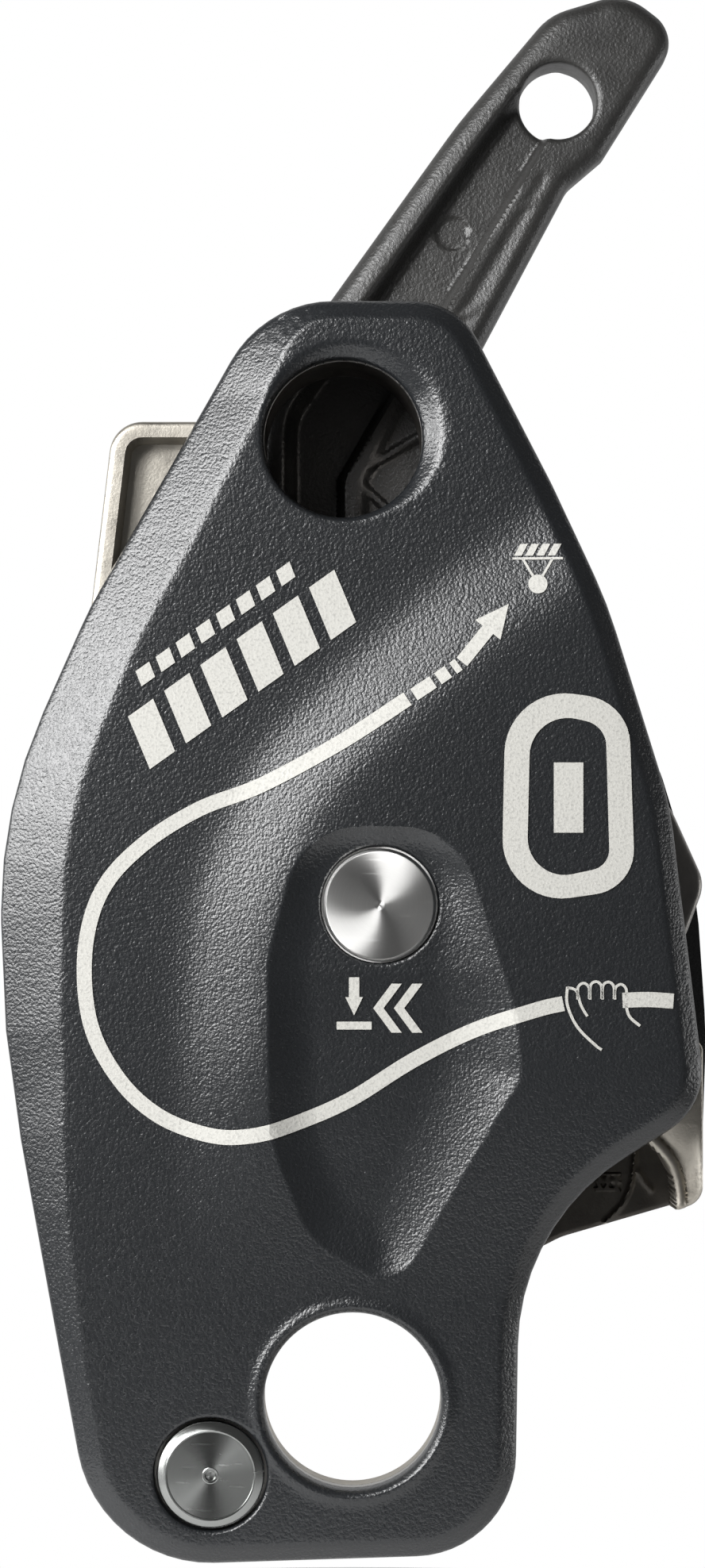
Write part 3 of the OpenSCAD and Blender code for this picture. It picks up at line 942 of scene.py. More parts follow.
    def bevel_line(self) -> Loop:
        """Returns the line where the edge facet meets the face.

        Returns:
            The outline's points.
        """
        ahead = np.roll(self.outline, -1, axis=0) - np.roll(self.outline, 1, axis=0)
        ahead /= np.linalg.norm(ahead, axis=1)[:, None]
        normals = np.column_stack([ahead[:, 1], -ahead[:, 0]])
        width, _ = self._bevel_width(self.outline[:, 1], normals)
        return evened(self.outline - normals * width[:, None], 1.0)

    def _bevel(self, p: np.ndarray) -> np.ndarray:
        """Returns the drop of the edge: a facet that is wide on the left, then a rounded rim.

        Args:
            p: x and z of the points to look at, in millimetres.

        Returns:
            One value or row for each point.
        """
        gap, normal = nearest(p, self.outline)
        width, grow = self._bevel_width(p[:, 1], normal)
        drop = self.narrow_drop * (1 - grow) + self.wide_drop * grow
        inward = width - gap
        facet = 0.5 * (inward + np.sqrt(inward**2 + 0.3**2)) * drop / width
        return facet + edge_round(gap, self.edge_radius)

    def _lip(self, p: np.ndarray) -> np.ndarray:
        """Returns the low rolled lip round the connector hole."""
        gap = np.linalg.norm(p, axis=1) - self.connector_r
        return 0.4 * np.exp(-((gap - 0.95) / 0.6) ** 2)


@dataclass
class SidePlateCover:
    """The moulded cover with its printed signs."""

    shape: CoverShape
    finishes: Finishes
    ink_lift: float = 0.17

    def build(self) -> list[bpy.types.Object]:
        """Makes the cover and every sign.

        Returns:
            The pieces made.
        """
        s = self.shape
        holes = [circle(s.connector, s.connector_r), circle(s.upper, s.upper_r),
                 circle(s.button, s.button_hole_r, 72), circle(s.pin, s.pin_hole_r, 72)]
        sheet = Sheet(s.outline, holes, [s.valley_loop, s.bevel_line()], spacing=1.1,
                      rings=(0.1, 0.25, 0.45, 0.7, 1.0, 1.5, 2.1, 2.8), fine_spacing=0.45,
                      fine_regions=[np.array([(-17, 96), (-3, 96), (-3, 108), (-17, 108)])])
        cover = relief("cover_moulding", sheet, s.depth, self._back, self.finishes.cover)
        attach(cover, "side_plate")
        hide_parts("side_plate_cover")
        return [cover, *[self._sign(name, loops) for name, loops in self._signs().items()]]

    def _back(self, p: np.ndarray) -> np.ndarray:
        """Returns the depth of the cover's hollow back: the rim wraps the metal plate.

        Args:
            p: x and z of the points to look at, in millimetres.

        Returns:
            One value or row for each point.
        """
        plate_front = node_span("side_plate")[0][1]
        rim_back = node_span("side_plate_cover")[1][1]
        gap = nearest(p, self.shape.outline)[0]
        return np.where(gap < 1.32, rim_back - edge_round(gap, 0.4), plate_front - 0.02)

    def _sign(self, name: str, loops: list[Ink]) -> bpy.types.Object:
        """Lays one printed sign on the moulded face.

        Args:
            name: the sign's name.
            loops: the closed outlines that the ink fills, a pair where the ink has an opening.

        Returns:
            The sign's piece.
        """
        points, faces = [], []
        for loop in loops:
            outline, holes = (loop[0], [loop[1]]) if isinstance(loop, tuple) else (loop, [])
            flat, tris = Sheet(outline, holes, spacing=0.6, rings=(), edge_spacing=0.5).triangles()
            first = sum(len(q) for q in points)
            points.append(np.column_stack([flat[:, 0], self.shape.depth(flat) - self.ink_lift, flat[:, 1]]))
            faces += (tris + first).tolist()
        sign = new_piece(name, np.vstack(points), faces, self.finishes.cover_print, sharp=0.01)
        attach(sign, "side_plate")
        return sign

    def _signs(self) -> dict[str, list[Ink]]:
        """Returns the outlines of every printed sign, by name.

        Returns:
            The outlines by the name of their sign.
        """
        rope = smooth_line([
            (6.9, 88.6), (-1.4, 83.2), (-11.4, 77.8), (-19.4, 74.7), (-26.6, 70.1), (-31.6, 64.4),
            (-33.7, 56.7), (-33.0, 47.7), (-29.4, 40.7), (-24.4, 36.1), (-18.4, 33.8), (-13.4, 33.6),
            (-7.4, 35.1), (-0.4, 38.1), (7.6, 43.1), (15.6, 47.1), (23.0, 49.6), (26.4, 50.4),
        ])
        tail = smooth_line([(33.8, 50.8), (37.0, 50.9), (40.2, 50.7)])
        dashes = [stroke(np.array([a, b]), 1.7) for a, b in (
            ((7.7, 89.1), (10.1, 90.7)), ((10.7, 91.1), (12.0, 92.0)), ((12.6, 92.4), (13.3, 92.9)),
            ((13.9, 93.3), (16.9, 97.4)),
        )]
        return {
            "rope_line_print": [stroke(rope, 1.9), stroke(tail, 1.9)],
            "pull_arrow_print": [*dashes[:3], self._arrow((13.7, 93.2), (19.6, 100.5), 1.7, 4.2)],
            "anchor_sign_print": self._anchor_sign(),
            "hand_sign_print": self._hand_sign(),
            "connector_sign_print": self._connector_sign(),
            "slanted_bars_print": self._slanted_bars(),
            "press_and_slide_print": self._press_sign(),
        }

    @staticmethod
    def _arrow(start: tuple[float, float], tip: tuple[float, float], width: float, head: float) -> Loop:
        """Returns an arrow's outline from its start to its tip.

        Args:
            start: where it begins.
            tip: where the arrow points.
            width: the thickness of the shaft.
            head: the length of the head.

        Returns:
            The outline's points.
        """
        a, b = np.array(start), np.array(tip)
        along = (b - a) / np.linalg.norm(b - a)
        side = np.array([-along[1], along[0]])
        neck = b - along * head
        return np.array([
            a - side * width / 2, neck - side * width / 2, neck - side * head * 0.48, b,
            neck + side * head * 0.48, neck + side * width / 2, a + side * width / 2,
        ])

    @staticmethod
    def _anchor_sign() -> list[Loop]:
        """Returns the sign for a fixed anchor: hatching, a line, and a ring hung from it.

        Returns:
            The closed outlines of the sign.
        """
        slants = [
            np.array([(x, 106.6), (x + 0.95, 106.6), (x + 1.75, 108.1), (x + 0.8, 108.1)])
            for x in (20.3, 21.7, 23.1, 24.5)
        ]
        line = np.array([(20.1, 106.1), (26.4, 106.1), (26.4, 106.4), (20.1, 106.4)])
        legs = [stroke(np.array([(top, 106.2), (foot, 103.6)]), 0.3)
                for top, foot in ((21.4, 22.9), (25.1, 23.6))]
        return [*slants, line, *legs, circle((23.25, 103.0), 1.2, 40)]

    @staticmethod
    def _hand_sign() -> list[Loop]:
        """Returns the outline of a hand that holds the rope.

        Returns:
            The closed outlines of the sign.
        """
        thumb = smooth_line([(26.9, 52.5), (26.9, 50.2), (28.2, 47.4), (30.6, 45.0)])
        cuff = smooth_line([(34.2, 50.8), (34.6, 48.9), (36.0, 47.6)])
        wrist = stroke(np.array([(30.6, 45.0), (31.2, 44.6)]), 0.34)
        palm = smooth_line([(26.9, 52.4), (28.0, 52.0), (28.6, 50.2), (29.4, 48.8)])
        knuckles = []
        for i in range(4):
            x = 28.2 + 1.55 * i
            top = 52.6 + (0.35, 0.55, 0.5, 0.2)[i]
            finger = smooth_line([(x, 50.9), (x + 0.05, top - 0.5), (x + 0.75, top),
                                  (x + 1.4, top - 0.55), (x + 1.45, 51.0)])
            knuckles.append(stroke(finger, 0.34))
        return [stroke(thumb, 0.36), stroke(cuff, 0.36), wrist, stroke(palm, 0.34), *knuckles]

    @staticmethod
    def _connector_sign() -> list[Ink]:
        """Returns a plain connector sign: a long rounded link with a gate and a bar through it.

        Returns:
            The closed outlines of the sign.
        """
        centre = np.array([27.2, 76.2])
        outer = rounded([(-8.6, -13.8, 7.4), (8.2, -11.4, 5.6), (7.4, 12.0, 6.2), (-8.0, 14.2, 7.6)], 9) + centre
        inner = rounded([(-5.4, -10.8, 4.6), (5.0, -8.6, 2.6), (4.5, 9.0, 3.2), (-4.9, 11.2, 4.8)], 9) + centre
        sleeve = np.array([(-2.0, -4.4), (1.7, -4.4), (1.7, 4.4), (-2.0, 4.4)]) + centre
        return [(outer, inner), sleeve]

    @staticmethod
    def _slanted_bars() -> list[Loop]:
        """Returns two rows of plain slanted bars.

        Returns:
            The closed outlines of the sign.
        """
        along = np.array([math.cos(math.radians(35.5)), math.sin(math.radians(35.5))])
        up = np.array([-along[1], along[0]])
        start = np.array([-25.4, 79.6])

        def bar(first: float, last: float, low: float, high: float, lean: float) -> Loop:
            """Returns one bar between two places along the row."""
            corners = ((first, low), (last, low), (last + lean, high), (first + lean, high))
            return np.array([start + along * a + up * b for a, b in corners])

        big = [bar(5.6 * i, 5.6 * i + 3.9, 0.2, 7.2, 1.6) for i in range(6)]
        small = [bar(5.2 + 3.1 * i, 5.2 + 3.1 * i + 2.1, 9.3, 11.3, 0.5) for i in range(8)]
        return [*big, *small]

    @staticmethod
    def _press_sign() -> list[Loop]:
        """Returns the sign for press and slide: an arrow onto a bar, then a pair of chevrons.

        Returns:
            The closed outlines of the sign.
        """
        x, z = 0.2, 49.4
        press = SidePlateCover._arrow((x, z + 4.2), (x, z - 0.6), 1.3, 2.3)
        plate = np.array([(x - 2.2, z - 2.4), (x + 2.2, z - 2.4), (x + 2.2, z - 1.4), (x - 2.2, z - 1.4)])
        chevrons = []
        for shift in (0, 2.6):
            a = np.array([x + 8.6 - shift, z + 3.4])
            steps = ((0, 0), (-1.3, 0), (-3.6, -3.1), (-1.3, -6.2), (0, -6.2), (-2.3, -3.1))
            chevrons.append(np.array([a + step for step in steps])[::-1])
        return [press, plate, *[c if signed_area(c) > 0 else c[::-1] for c in chevrons]]


# ---- Turned pieces ---------------------------------------------------------------------------------

@dataclass
class LockPieces:
    """The lathe-faced lock button and pivot pin, and the two wound lock springs."""

    finishes: Finishes
    chamfer: float = 0.35
    dimple: float = 0.55
    travel: float = 2.0
    wire: float = 0.5
    turns: float = 2.5

    def build(self) -> list[bpy.types.Object]:
        """Returns the button, the pin and the two lock springs."""
        return [self._button(), self._pin(), self._spring("button_spring", "side_plate"),
                self._spring("plunger_spring", "handle")]

    def _spring(self, node: str, body: str) -> bpy.types.Object:
        """Returns a lock spring.

        Args:
            node: the node that it stands for.
            body: the body that its far end sits on.

        Returns:
            The new piece.
        """
        spring = coil(node.replace("spring", "coil"), node, self.wire, self.turns, self.finishes.wire)
        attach(spring, body)
        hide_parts(node)
        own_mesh(spring)
        return spring

    def _button(self) -> bpy.types.Object:
        """Returns the button, with a small dimple and a softly broken edge.

        Returns:
            The new piece.
        """
        lo, hi = node_span("lock_button")
        flange = (hi[0] - lo[0]) / 2
        r, c, front = 7.1, self.chamfer, lo[1]
        back = hi[1]
        seat = node_span("button_spring")[0][1]
        profile = [
            (0, front + 0.13), (0.2, front + 0.11), (self.dimple, front + 0.02), (self.dimple + 0.15, front),
            (r - c - 0.15, front), (r - c, front + 0.03), (r - 0.08, front + c - 0.06), (r, front + c + 0.1),
            (r, seat - 0.35), (flange - 0.1, seat - 0.35), (flange, seat - 0.25), (flange, seat), (3.9, seat),
            (3.9, back - 0.3), (3.6, back), (0, back),
        ]
        button = lathe("button_face", node_axis("lock_button"), profile, self.finishes.button, 160)
        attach(button, "lock_button")
        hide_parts("lock_button")
        return button

    def _pin(self) -> bpy.types.Object:
        """Returns the pivot pin with its bright chamfered rim and riveted tail.

        Returns:
            The new piece.
        """
        lo, hi = node_span("pivot_pin")
        r, front, back = (hi[0] - lo[0]) / 2, lo[1], hi[1]
        shank = 3.5
        profile = [
            (0, front + 0.5), (0.55, front + 0.45), (0.7, front + 0.12), (0.95, front + 0.1),
            (1.05, front + 0.16),
            (r - 1.35, front + 0.16), (r - 1.25, front + 0.02), (r - 1.1, front), (r - 0.35, front + 0.42),
            (r - 0.05, front + 0.72), (r, front + 0.95), (r, front + 2.1), (shank, front + 2.1),
            (shank, back - 0.8), (shank + 0.85, back - 0.75), (shank + 0.8, back - 0.4),
            (shank + 0.2, back), (0, back),
        ]
        pin = lathe("pivot_pin_turned", node_axis("pivot_pin"), profile, self.finishes.pin_face, 160)
        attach(pin, "frame")
        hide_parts("pivot_pin")
        return pin


# ---- The handle ------------------------------------------------------------------------------------

@dataclass
class Handle:
    """The folding handle: a black casting with a raised rim, a long channel and a ribbed side."""

    finishes: Finishes
    outline_corners: tuple[Corner, ...] = (
        (-11.6, 56, 0), (18.4, 56, 0), (17, 84, 40), (13.6, 129, 12), (28.6, 157.2, 4), (33.3, 161.2, 2),
        (43.6, 177.6, 4.5), (36.2, 183.3, 7), (26.2, 180.3, 8), (14, 165.8, 60), (-12.4, 129, 10),
        (-13, 90, 20),
    )
    # The long channel runs up to the cord hole; the ribbed side lies right of the middle rib
    channel: tuple[Corner, ...] = (
        (-9.4, 92, 1), (-0.9, 92, 1), (-0.9, 118.3, 2), (4.9, 128.1, 8), (26.4, 163.9, 0.3),
        (24.6, 170.9, 0.3), (21.5, 170.4, 1), (16.4, 163.6, 30), (-9.4, 127, 8),
    )
    ribbed_side: tuple[Corner, ...] = (
        (0.9, 92, 1), (12.6, 92, 1), (11.7, 127, 10), (26.6, 157.6, 1.5), (25.9, 161.4, 1),
        (5.3, 127.5, 8), (0.9, 118.3, 2),
    )
    ribs: tuple[tuple[tuple[float, float], tuple[float, float]], ...] = (
        ((13.2, 139.3), (21.2, 143.6)), ((22.0, 154.3), (28.0, 157.2)), ((2.4, 120.2), (10.4, 125.0)),
        ((1.2, 117.6), (9.6, 109.8)),
    )
    hub_r: float = 15.5
    edge: float = 2.3
    channel_drop: float = 3.4
    ribbed_drop: float = 1.1

    def build(self) -> list[bpy.types.Object]:
        """Returns the handle's casting.

        Returns:
            The new pieces.
        """
        lo, hi = node_span("handle")
        self.front_y, self.back_y = lo[1], hi[1]
        self.hub = node_axis("cam_axle")
        self.cord_hole = (27.3, 168.6)
        self.outline = self._outline()
        self.channel_loop = rounded(list(self.channel), 10)
        self.ribbed_loop = rounded(list(self.ribbed_side), 10)
        holes = [circle(self.cord_hole, 5.05, 64), circle(self.hub, 6.02, 64)]
        sheet = Sheet(self.outline, holes, [self.channel_loop], spacing=1.1,
                      rings=(0.12, 0.3, 0.6, 1.0, 1.5, 2.1), edge_spacing=0.8,
                      fine_regions=[self.ribbed_loop, self.channel_loop], fine_spacing=0.4,
                      crease_rings=(0.0, 0.25, 0.5, 0.75, 1.0, 1.3))
        casting = relief("handle_casting", sheet, self._front, self._back, self.finishes.black_casting)
        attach(casting, "handle")
        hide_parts("handle")
        return [casting]

    def _outline(self) -> Loop:
        """Returns the arm's outline and the hub's arc.

        The arc passes a full turn, so the hub's disc counts as outside and is left out.

        Returns:
            The outline's points.
        """
        arm = rounded(list(self.outline_corners))
        far = np.linalg.norm(arm - np.array(self.hub), axis=1) > self.hub_r + 0.2
        kept = arm[far]
        first = int(np.argmax(kept[:, 0] - 0.02 * kept[:, 1] - 1000 * (kept[:, 1] > 90)))
        kept = np.roll(kept, -first, axis=0)
        start = math.atan2(kept[-1][1] - self.hub[1], kept[-1][0] - self.hub[0])
        end = math.atan2(kept[0][1] - self.hub[1], kept[0][0] - self.hub[0]) + 2 * math.pi
        angles = np.linspace(start, end, 60)[2:-2]
        round_end = np.array(self.hub) + self.hub_r * np.column_stack([np.cos(angles), np.sin(angles)])
        return np.vstack([kept, round_end])

    def _front(self, p: np.ndarray) -> np.ndarray:
        """Returns the depth of the side that faces the frame.

        Args:
            p: x and z of the points to look at, in millimetres.

        Returns:
            One value or row for each point.
        """
        gap, normal = nearest(p, self.outline)
        left = ease(-normal[:, 0] / 0.7)
        inward = 2.6 - gap
        facet = 0.5 * (inward + np.sqrt(inward**2 + 0.8)) * 0.26
        y = self.front_y + left * (facet + edge_round(gap, 1.7)) + (1 - left) * edge_round(gap, self.edge)
        steep = ease(nearest(p, self.channel_loop)[1][:, 0] / 0.5)
        y += self.channel_drop * ease(depth_in(p, self.channel_loop) / (2.3 - 1.1 * steep))
        side = self.ribbed_drop * ease(depth_in(p, self.ribbed_loop) / 1.6) * ease((gap - 1.5) / 4)
        side *= np.interp(p[:, 1], [120, 132], [1, 0.42])
        for a, b in self.ribs:
            gap = nearest(p, np.array([a, b]), closed=False)[0]
            side *= 1 - 0.55 * ease((0.75 - gap) / 0.45)
        y += side
        y += edge_round(np.linalg.norm(p - self.cord_hole, axis=1) - 5.05, 0.8)
        return y + 0.35 * ease((2.35 - np.linalg.norm(p - (13.3, 151.4), axis=1)) / 0.3)

    def _back(self, p: np.ndarray) -> np.ndarray:
        """Returns the depth of the outer side, which is crowned for the palm.

        Args:
            p: x and z of the points to look at, in millimetres.

        Returns:
            One value or row for each point.
        """
        gap = nearest(p, self.outline)[0]
        y = self.back_y - edge_round(gap, 3.2)
        y -= edge_round(np.linalg.norm(p - self.cord_hole, axis=1) - 5.05, 1.0)
        groove = np.abs(gap - 5.2)
        away = np.linalg.norm(p - np.array(self.hub), axis=1)
        y -= 0.45 * ease((1.0 - groove) / 0.7) * ease((away - 22) / 6)
        return y


# ---- The frame -------------------------------------------------------------------------------------

@dataclass
class Frame:
    """The cast frame, its black rear cover and the cam."""

    finishes: Finishes
    casting_corners: tuple[Corner, ...] = (
        (-36.2, 17.5, 5), (22.5, 17, 4), (27, 19.3, 8), (44.6, 24.4, 3), (44.6, 45, 1.5), (39.5, 46.4, 3),
        (39.5, 74, 20), (30.4, 99, 40), (13.2, 135.4, 7), (-9.4, 136, 9), (-16.6, 124, 2),
        (-30.45, 124, 4.2), (-34, 94, 8), (-41.6, 76, 40), (-42.9, 50, 120),
    )
    tongue_corners: tuple[Corner, ...] = (
        (-30.3, -19.4, 15), (18.9, -18, 11.5), (19.4, 18.5, 1), (-37.4, 18.5, 1),
    )
    rear_corners: tuple[Corner, ...] = (
        (-35.4, 18, 5), (23, 17.6, 5), (27.5, 21, 8), (45.9, 26, 4), (46.6, 45, 60), (45.3, 64, 40),
        (40.6, 79.4, 8), (29.8, 99, 20), (12.6, 134.8, 7), (-9, 135.4, 9), (-16.4, 123, 2),
        (-29.8, 123, 4), (-33.2, 94, 8), (-40.8, 76, 40), (-42, 50, 120),
    )
    mouth: tuple[tuple[float, float], ...] = (
        (13, 119), (13, 150), (60, 150), (60, 45), (36, 45), (36, 70), (26, 95),
    )
    rim: float = 2.0
    draft: float = 0.6
    corner_level: float = 8.2
    corner_foot: float = 2.6
    pocket_drop: float = 4.2
    boss_r: float = 13.45
    sleeve_r: float = 10.85

    def build(self) -> list[bpy.types.Object]:
        """Returns the casting, the tongue, the rear cover, the cam and the sleeve.

        Returns:
            The new pieces.
        """
        self.floor_y, self.back_y = (float(s[1]) for s in node_span("frame_casting"))
        self.wall_y = float(node_span("channel_wall")[0][1])
        self.upper = node_axis("upper_sleeve")
        self.axle = node_axis("cam_axle")
        self.outline = rounded(list(self.casting_corners))
        return [self._casting(), self._tongue(), self._rear_cover(), self._cam(), self._sleeve(),
                self._sleeve_rim()]

    def _casting(self) -> bpy.types.Object:
        """Returns the floor, channel wall, upper boss and brake shoulder as the one casting they are.

        Returns:
            The new piece.
        """
        holes = [circle(self.upper, self.sleeve_r), circle(self.axle, 7.44, 64)]
        creases = [self._moved_in(self.outline, 2.0), self._moved_in(self.outline, 2.6),
                   circle(self.upper, self.boss_r)]
        pocket = [np.array([(-17, 94), (-12, 94), (-12, 126), (-17, 126)]),
                  np.array([(-40, 95.5), (-12, 95.5), (-12, 100.5), (-40, 100.5)])]
        corner = np.array([(24, 16), (46, 16), (46, 46.5), (36, 46.5), (36, 31), (24, 27)])
        sheet = Sheet(self.outline, holes, creases, spacing=1.7, rings=(0.15, 0.4, 0.8), edge_spacing=0.8,
                      fine_regions=[corner, *pocket], fine_spacing=0.3)
        casting = relief("frame_body", sheet, self._front, self._back, self.finishes.frame_casting)
        # painted shade on the lower-right flat, in place of the cover's shadow
        self._paint_corner_shade(casting)
        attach(casting, "frame")
        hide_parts("frame_casting", "channel_wall", "upper_boss", "brake_shoulder")
        return casting

    def _paint_corner_shade(self, casting: bpy.types.Object) -> None:
        """Paints shade onto the flat in the lower-right corner: a darker copy of the casting finish that stands
        in for the shadow the cover throws there.

        Args:
            casting: the frame's casting.
        """
        casting.data.materials.append(self.finishes.dark_skin)
        level = self.wall_y + self.corner_level - 1.2
        # painted shade: flat faces in the lower-right corner take the darker finish that stands in for the
        # cover's shadow
        for face in casting.data.polygons:
            x, y, z = (c / MM for c in face.center)
            if 24 < x < 45 and z < 37 and level < y < level + 2 and face.normal.y < -0.3:
                face.material_index = 1

    @staticmethod
    def _moved_in(loop: Loop, by: float) -> Loop:
        """Returns a loop moved inwards along its own normals.

        Args:
            loop: a closed loop of points.
            by: how far to move it.

        Returns:
            The outline's points.
        """
        ahead = np.roll(loop, -1, axis=0) - np.roll(loop, 1, axis=0)
        ahead /= np.linalg.norm(ahead, axis=1)[:, None]
        moved = loop + by * np.column_stack([-ahead[:, 1], ahead[:, 0]])
        return moved[nearest(moved, loop)[0] > by * 0.97]

    def _front(self, p: np.ndarray) -> np.ndarray:
        """Returns the depth of the side that faces the rope.

        Args:
            p: x and z of the points to look at, in millimetres.

        Returns:
            One value or row for each point.
        """
        gap = nearest(p, self.outline)[0]
        deep = self.floor_y - self.wall_y
        wall = 1 - ease((gap - self.rim) / self.draft)
        wall *= 1 - ease((depth_in(p, np.array(self.mouth)) + 0.2) / 0.4)
        away = np.linalg.norm(p - np.array(self.upper), axis=1)
        boss = 1 - ease((away - self.boss_r + 0.4) / 0.8)
        shallow = ease((-14.5 - p[:, 0]) / 1.5) * ease((p[:, 1] - 97) / 2)
        floor = self.floor_y - shallow * (deep - self.pocket_drop)
        y = floor - np.maximum(wall, boss) * (floor - self.wall_y)
        region = np.array([(19, 5), (60, 5), (60, 45.4), (38.9, 45.4), (38.9, 33.4), (31, 29.2),
                           (24.6, 27.4), (19, 22)])
        y = np.where(inside(p, region), self._corner(p), y)
        y += edge_round(gap, 0.6)
        return y + edge_round(away - self.sleeve_r, 0.4)

    def _corner(self, p: np.ndarray) -> np.ndarray:
        """Returns the depth of the lower-right corner: a flat, a curved ridge and a hollow slope.

        Args:
            p: x and z of the points to look at, in millimetres.

        Returns:
            One value or row for each point.
        """
        ridge = smooth_line([(36.2, 34.6), (38.5, 32.3), (40.3, 30.3), (41.3, 28.2), (41.8, 25.6),
                             (41.9, 23)], 6)
        at = np.interp(p[:, 1], ridge[::-1, 1], ridge[::-1, 0])
        t = np.clip((p[:, 0] - at) / (44.7 - at), 0, 1)
        slope = self.wall_y + 0.1 + self.corner_foot * (1 - t) ** 0.85
        flat = np.full(len(p), self.wall_y + self.corner_level)
        y = np.where(p[:, 0] > at, slope, flat)
        gap = nearest(p, ridge, closed=False)[0]
        crest = self.wall_y + self.corner_foot - 1.3
        y = np.minimum(y, crest + edge_round(0.75 - gap, 0.75) + 9 * (gap > 0.75))
        line = smooth_line([(36.5, 30.5), (36.3, 28.6), (35.9, 26.0), (34.8, 23.5), (32.6, 21.2)], 6)
        y -= 0.45 * np.exp(-(nearest(p, line, closed=False)[0] / 0.3) ** 2)
        short = smooth_line([(36.9, 27.8), (37.6, 26.6), (38.6, 25.4)], 5)
        y -= 0.3 * np.exp(-(nearest(p, short, closed=False)[0] / 0.3) ** 2)
        cell = np.abs((p - (31.3, 25.0) + 0.55) % 1.1 - 0.55).max(1)
        pads = ease((cell - 0.18) / 0.12) * (np.abs(p - (32.95, 26.4)) < (1.6, 1.15)).all(1)
        return y - 0.3 * pads

    def _back(self, p: np.ndarray) -> np.ndarray:
        """Returns the depth of the casting's back, with a softened edge."""
        return self.back_y - edge_round(nearest(p, self.outline)[0], 0.8)

    def _tongue(self) -> bpy.types.Object:
        """Returns the thin tongue that backs the connector hole, with its two webs.

        Returns:
            The new piece.
        """
        lo, hi = node_span("frame_tongue")
        outline = rounded(list(self.tongue_corners))
        outline = outline[outline[:, 1] < 17.3]
        outline = np.vstack([outline, [(19.4, 17.3), (-37.2, 17.3)]])
        outline = outline[np.argsort(np.arctan2(outline[:, 1], outline[:, 0] + 8))]
        back = 3.7
        holes = [circle((0, 0), CONNECTOR_HOLE_R), circle(node_axis("pivot_pin"), 3.5, 48)]

        def rear(p: np.ndarray) -> np.ndarray:
            """Returns the tongue's back, which thickens into two webs towards the channel.

            Args:
                p: x and z of the points to look at, in millimetres.

            Returns:
                One value or row for each point.
            """
            web = np.maximum(1 - np.abs(p[:, 0] + 30.8) / 1.6, 1 - np.abs(p[:, 0] - 16.7) / 1.6)
            climb = np.clip((p[:, 1] - 2) / 15.3, 0, 1) * (hi[1] - back - 0.4)
            y = back + climb * ease(web / 0.5)
            fillet = 2.4 * ease((p[:, 1] - 13.6) / 3.7) ** 2
            return np.maximum(y, back + fillet) - edge_round(nearest(p, outline)[0], 0.6)

        sheet = Sheet(outline, holes, spacing=1.3, rings=(0.15, 0.4, 0.8))
        tongue = relief("frame_tongue_cast", sheet, lambda p: lo[1] + edge_round(nearest(p, outline)[0], 0.4),
                        rear, self.finishes.frame_casting)
        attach(tongue, "frame")
        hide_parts("frame_tongue")
        return tongue

    def _rear_cover(self) -> bpy.types.Object:
        """Returns the black moulded cover behind the frame.

        Returns:
            The new piece.
        """
        lo, hi = node_span("rear_cover")
        outline = rounded(list(self.rear_corners))
        holes = [circle(self.axle, 16.5), circle(self.upper, self.sleeve_r)]

        def rear(p: np.ndarray) -> np.ndarray:
            """Returns the rear face with its soft edge and shallow grooves.

            Args:
                p: x and z of the points to look at, in millimetres.

            Returns:
                One value or row for each point.
            """
            gap = nearest(p, outline)[0]
            grooves = 0.5 * ease((0.9 - np.abs(gap - 4.5)) / 0.6)
            return hi[1] - edge_round(gap, 1.4) - grooves

        sheet = Sheet(outline, holes, [self._moved_in(outline, 4.5)], spacing=1.8,
                      rings=(0.15, 0.45, 0.9, 1.4))
        cover = relief("rear_cover_moulding", sheet, lambda p: np.full(len(p), lo[1]), rear,
                       self.finishes.black_moulding)
        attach(cover, "frame")
        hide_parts("rear_cover")
        return cover

    def _cam(self) -> bpy.types.Object:
        """Returns the cam with its rounded nose; the drive pin's slot is left out.

        Returns:
            The new piece.
        """
        lo, hi = node_span("cam")
        lobe, lobe_r = (-13.5, 54.0), 14.0
        nose = rounded([(13, 52.3, 25), (41.9, 57.1, 4), (44.9, 65.2, 4.5), (39.2, 77.8, 8), (10.5, 81.3, 12),
                        (-19.6, 66.6, 0), (-6.9, 41.6, 0)])
        keep = np.linalg.norm(nose - np.array(lobe), axis=1) > lobe_r - 0.05
        angles = np.radians(np.linspace(116, 298, 40))[1:-1]
        wrap = np.array(lobe) + lobe_r * np.column_stack([np.cos(angles), np.sin(angles)])
        outline = np.vstack([nose[keep][:-2], wrap])
        sheet = Sheet(outline, [circle(self.axle, 7.24, 64)], spacing=1.8, rings=(0.15, 0.4, 0.8, 1.3))
        cam = relief("cam_casting", sheet, lambda p: lo[1] + edge_round(nearest(p, outline)[0], 1.0),
                     lambda p: hi[1] - edge_round(nearest(p, outline)[0], 1.0), self.finishes.cam_casting)
        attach(cam, "cam")
        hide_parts("cam")
        return cam

    def _sleeve(self) -> bpy.types.Object:
        """Returns the dark steel sleeve that lines the upper hole.

        Returns:
            The new piece.
        """
        lo, hi = node_span("upper_sleeve")
        r, out = UPPER_HOLE_R, self.sleeve_r
        profile = [(r, lo[1] + 0.5), (r + 0.15, lo[1] + 0.15), (r + 0.45, lo[1]), (out, lo[1]),
                   (out, hi[1]), (r, hi[1])]
        sleeve = lathe("sleeve_lining", self.upper, profile, self.finishes.dark_steel)
        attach(sleeve, "frame")
        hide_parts("upper_sleeve")
        return sleeve

    def _sleeve_rim(self) -> bpy.types.Object:
        """Returns the bright thin edge at the front of the sleeve.

        Returns:
            The new piece.
        """
        front = float(node_span("upper_sleeve")[0][1])
        profile = [(10.02, front + 0.35), (10.02, front + 0.05), (10.1, front - 0.04), (10.24, front - 0.04),
                   (10.32, front + 0.05), (10.32, front + 0.35)]
        rim = lathe("sleeve_rim", self.upper, profile, self.finishes.screw)
        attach(rim, "frame")
        return rim


# ---- Carried-over nodes ----------------------------------------------------------------------------

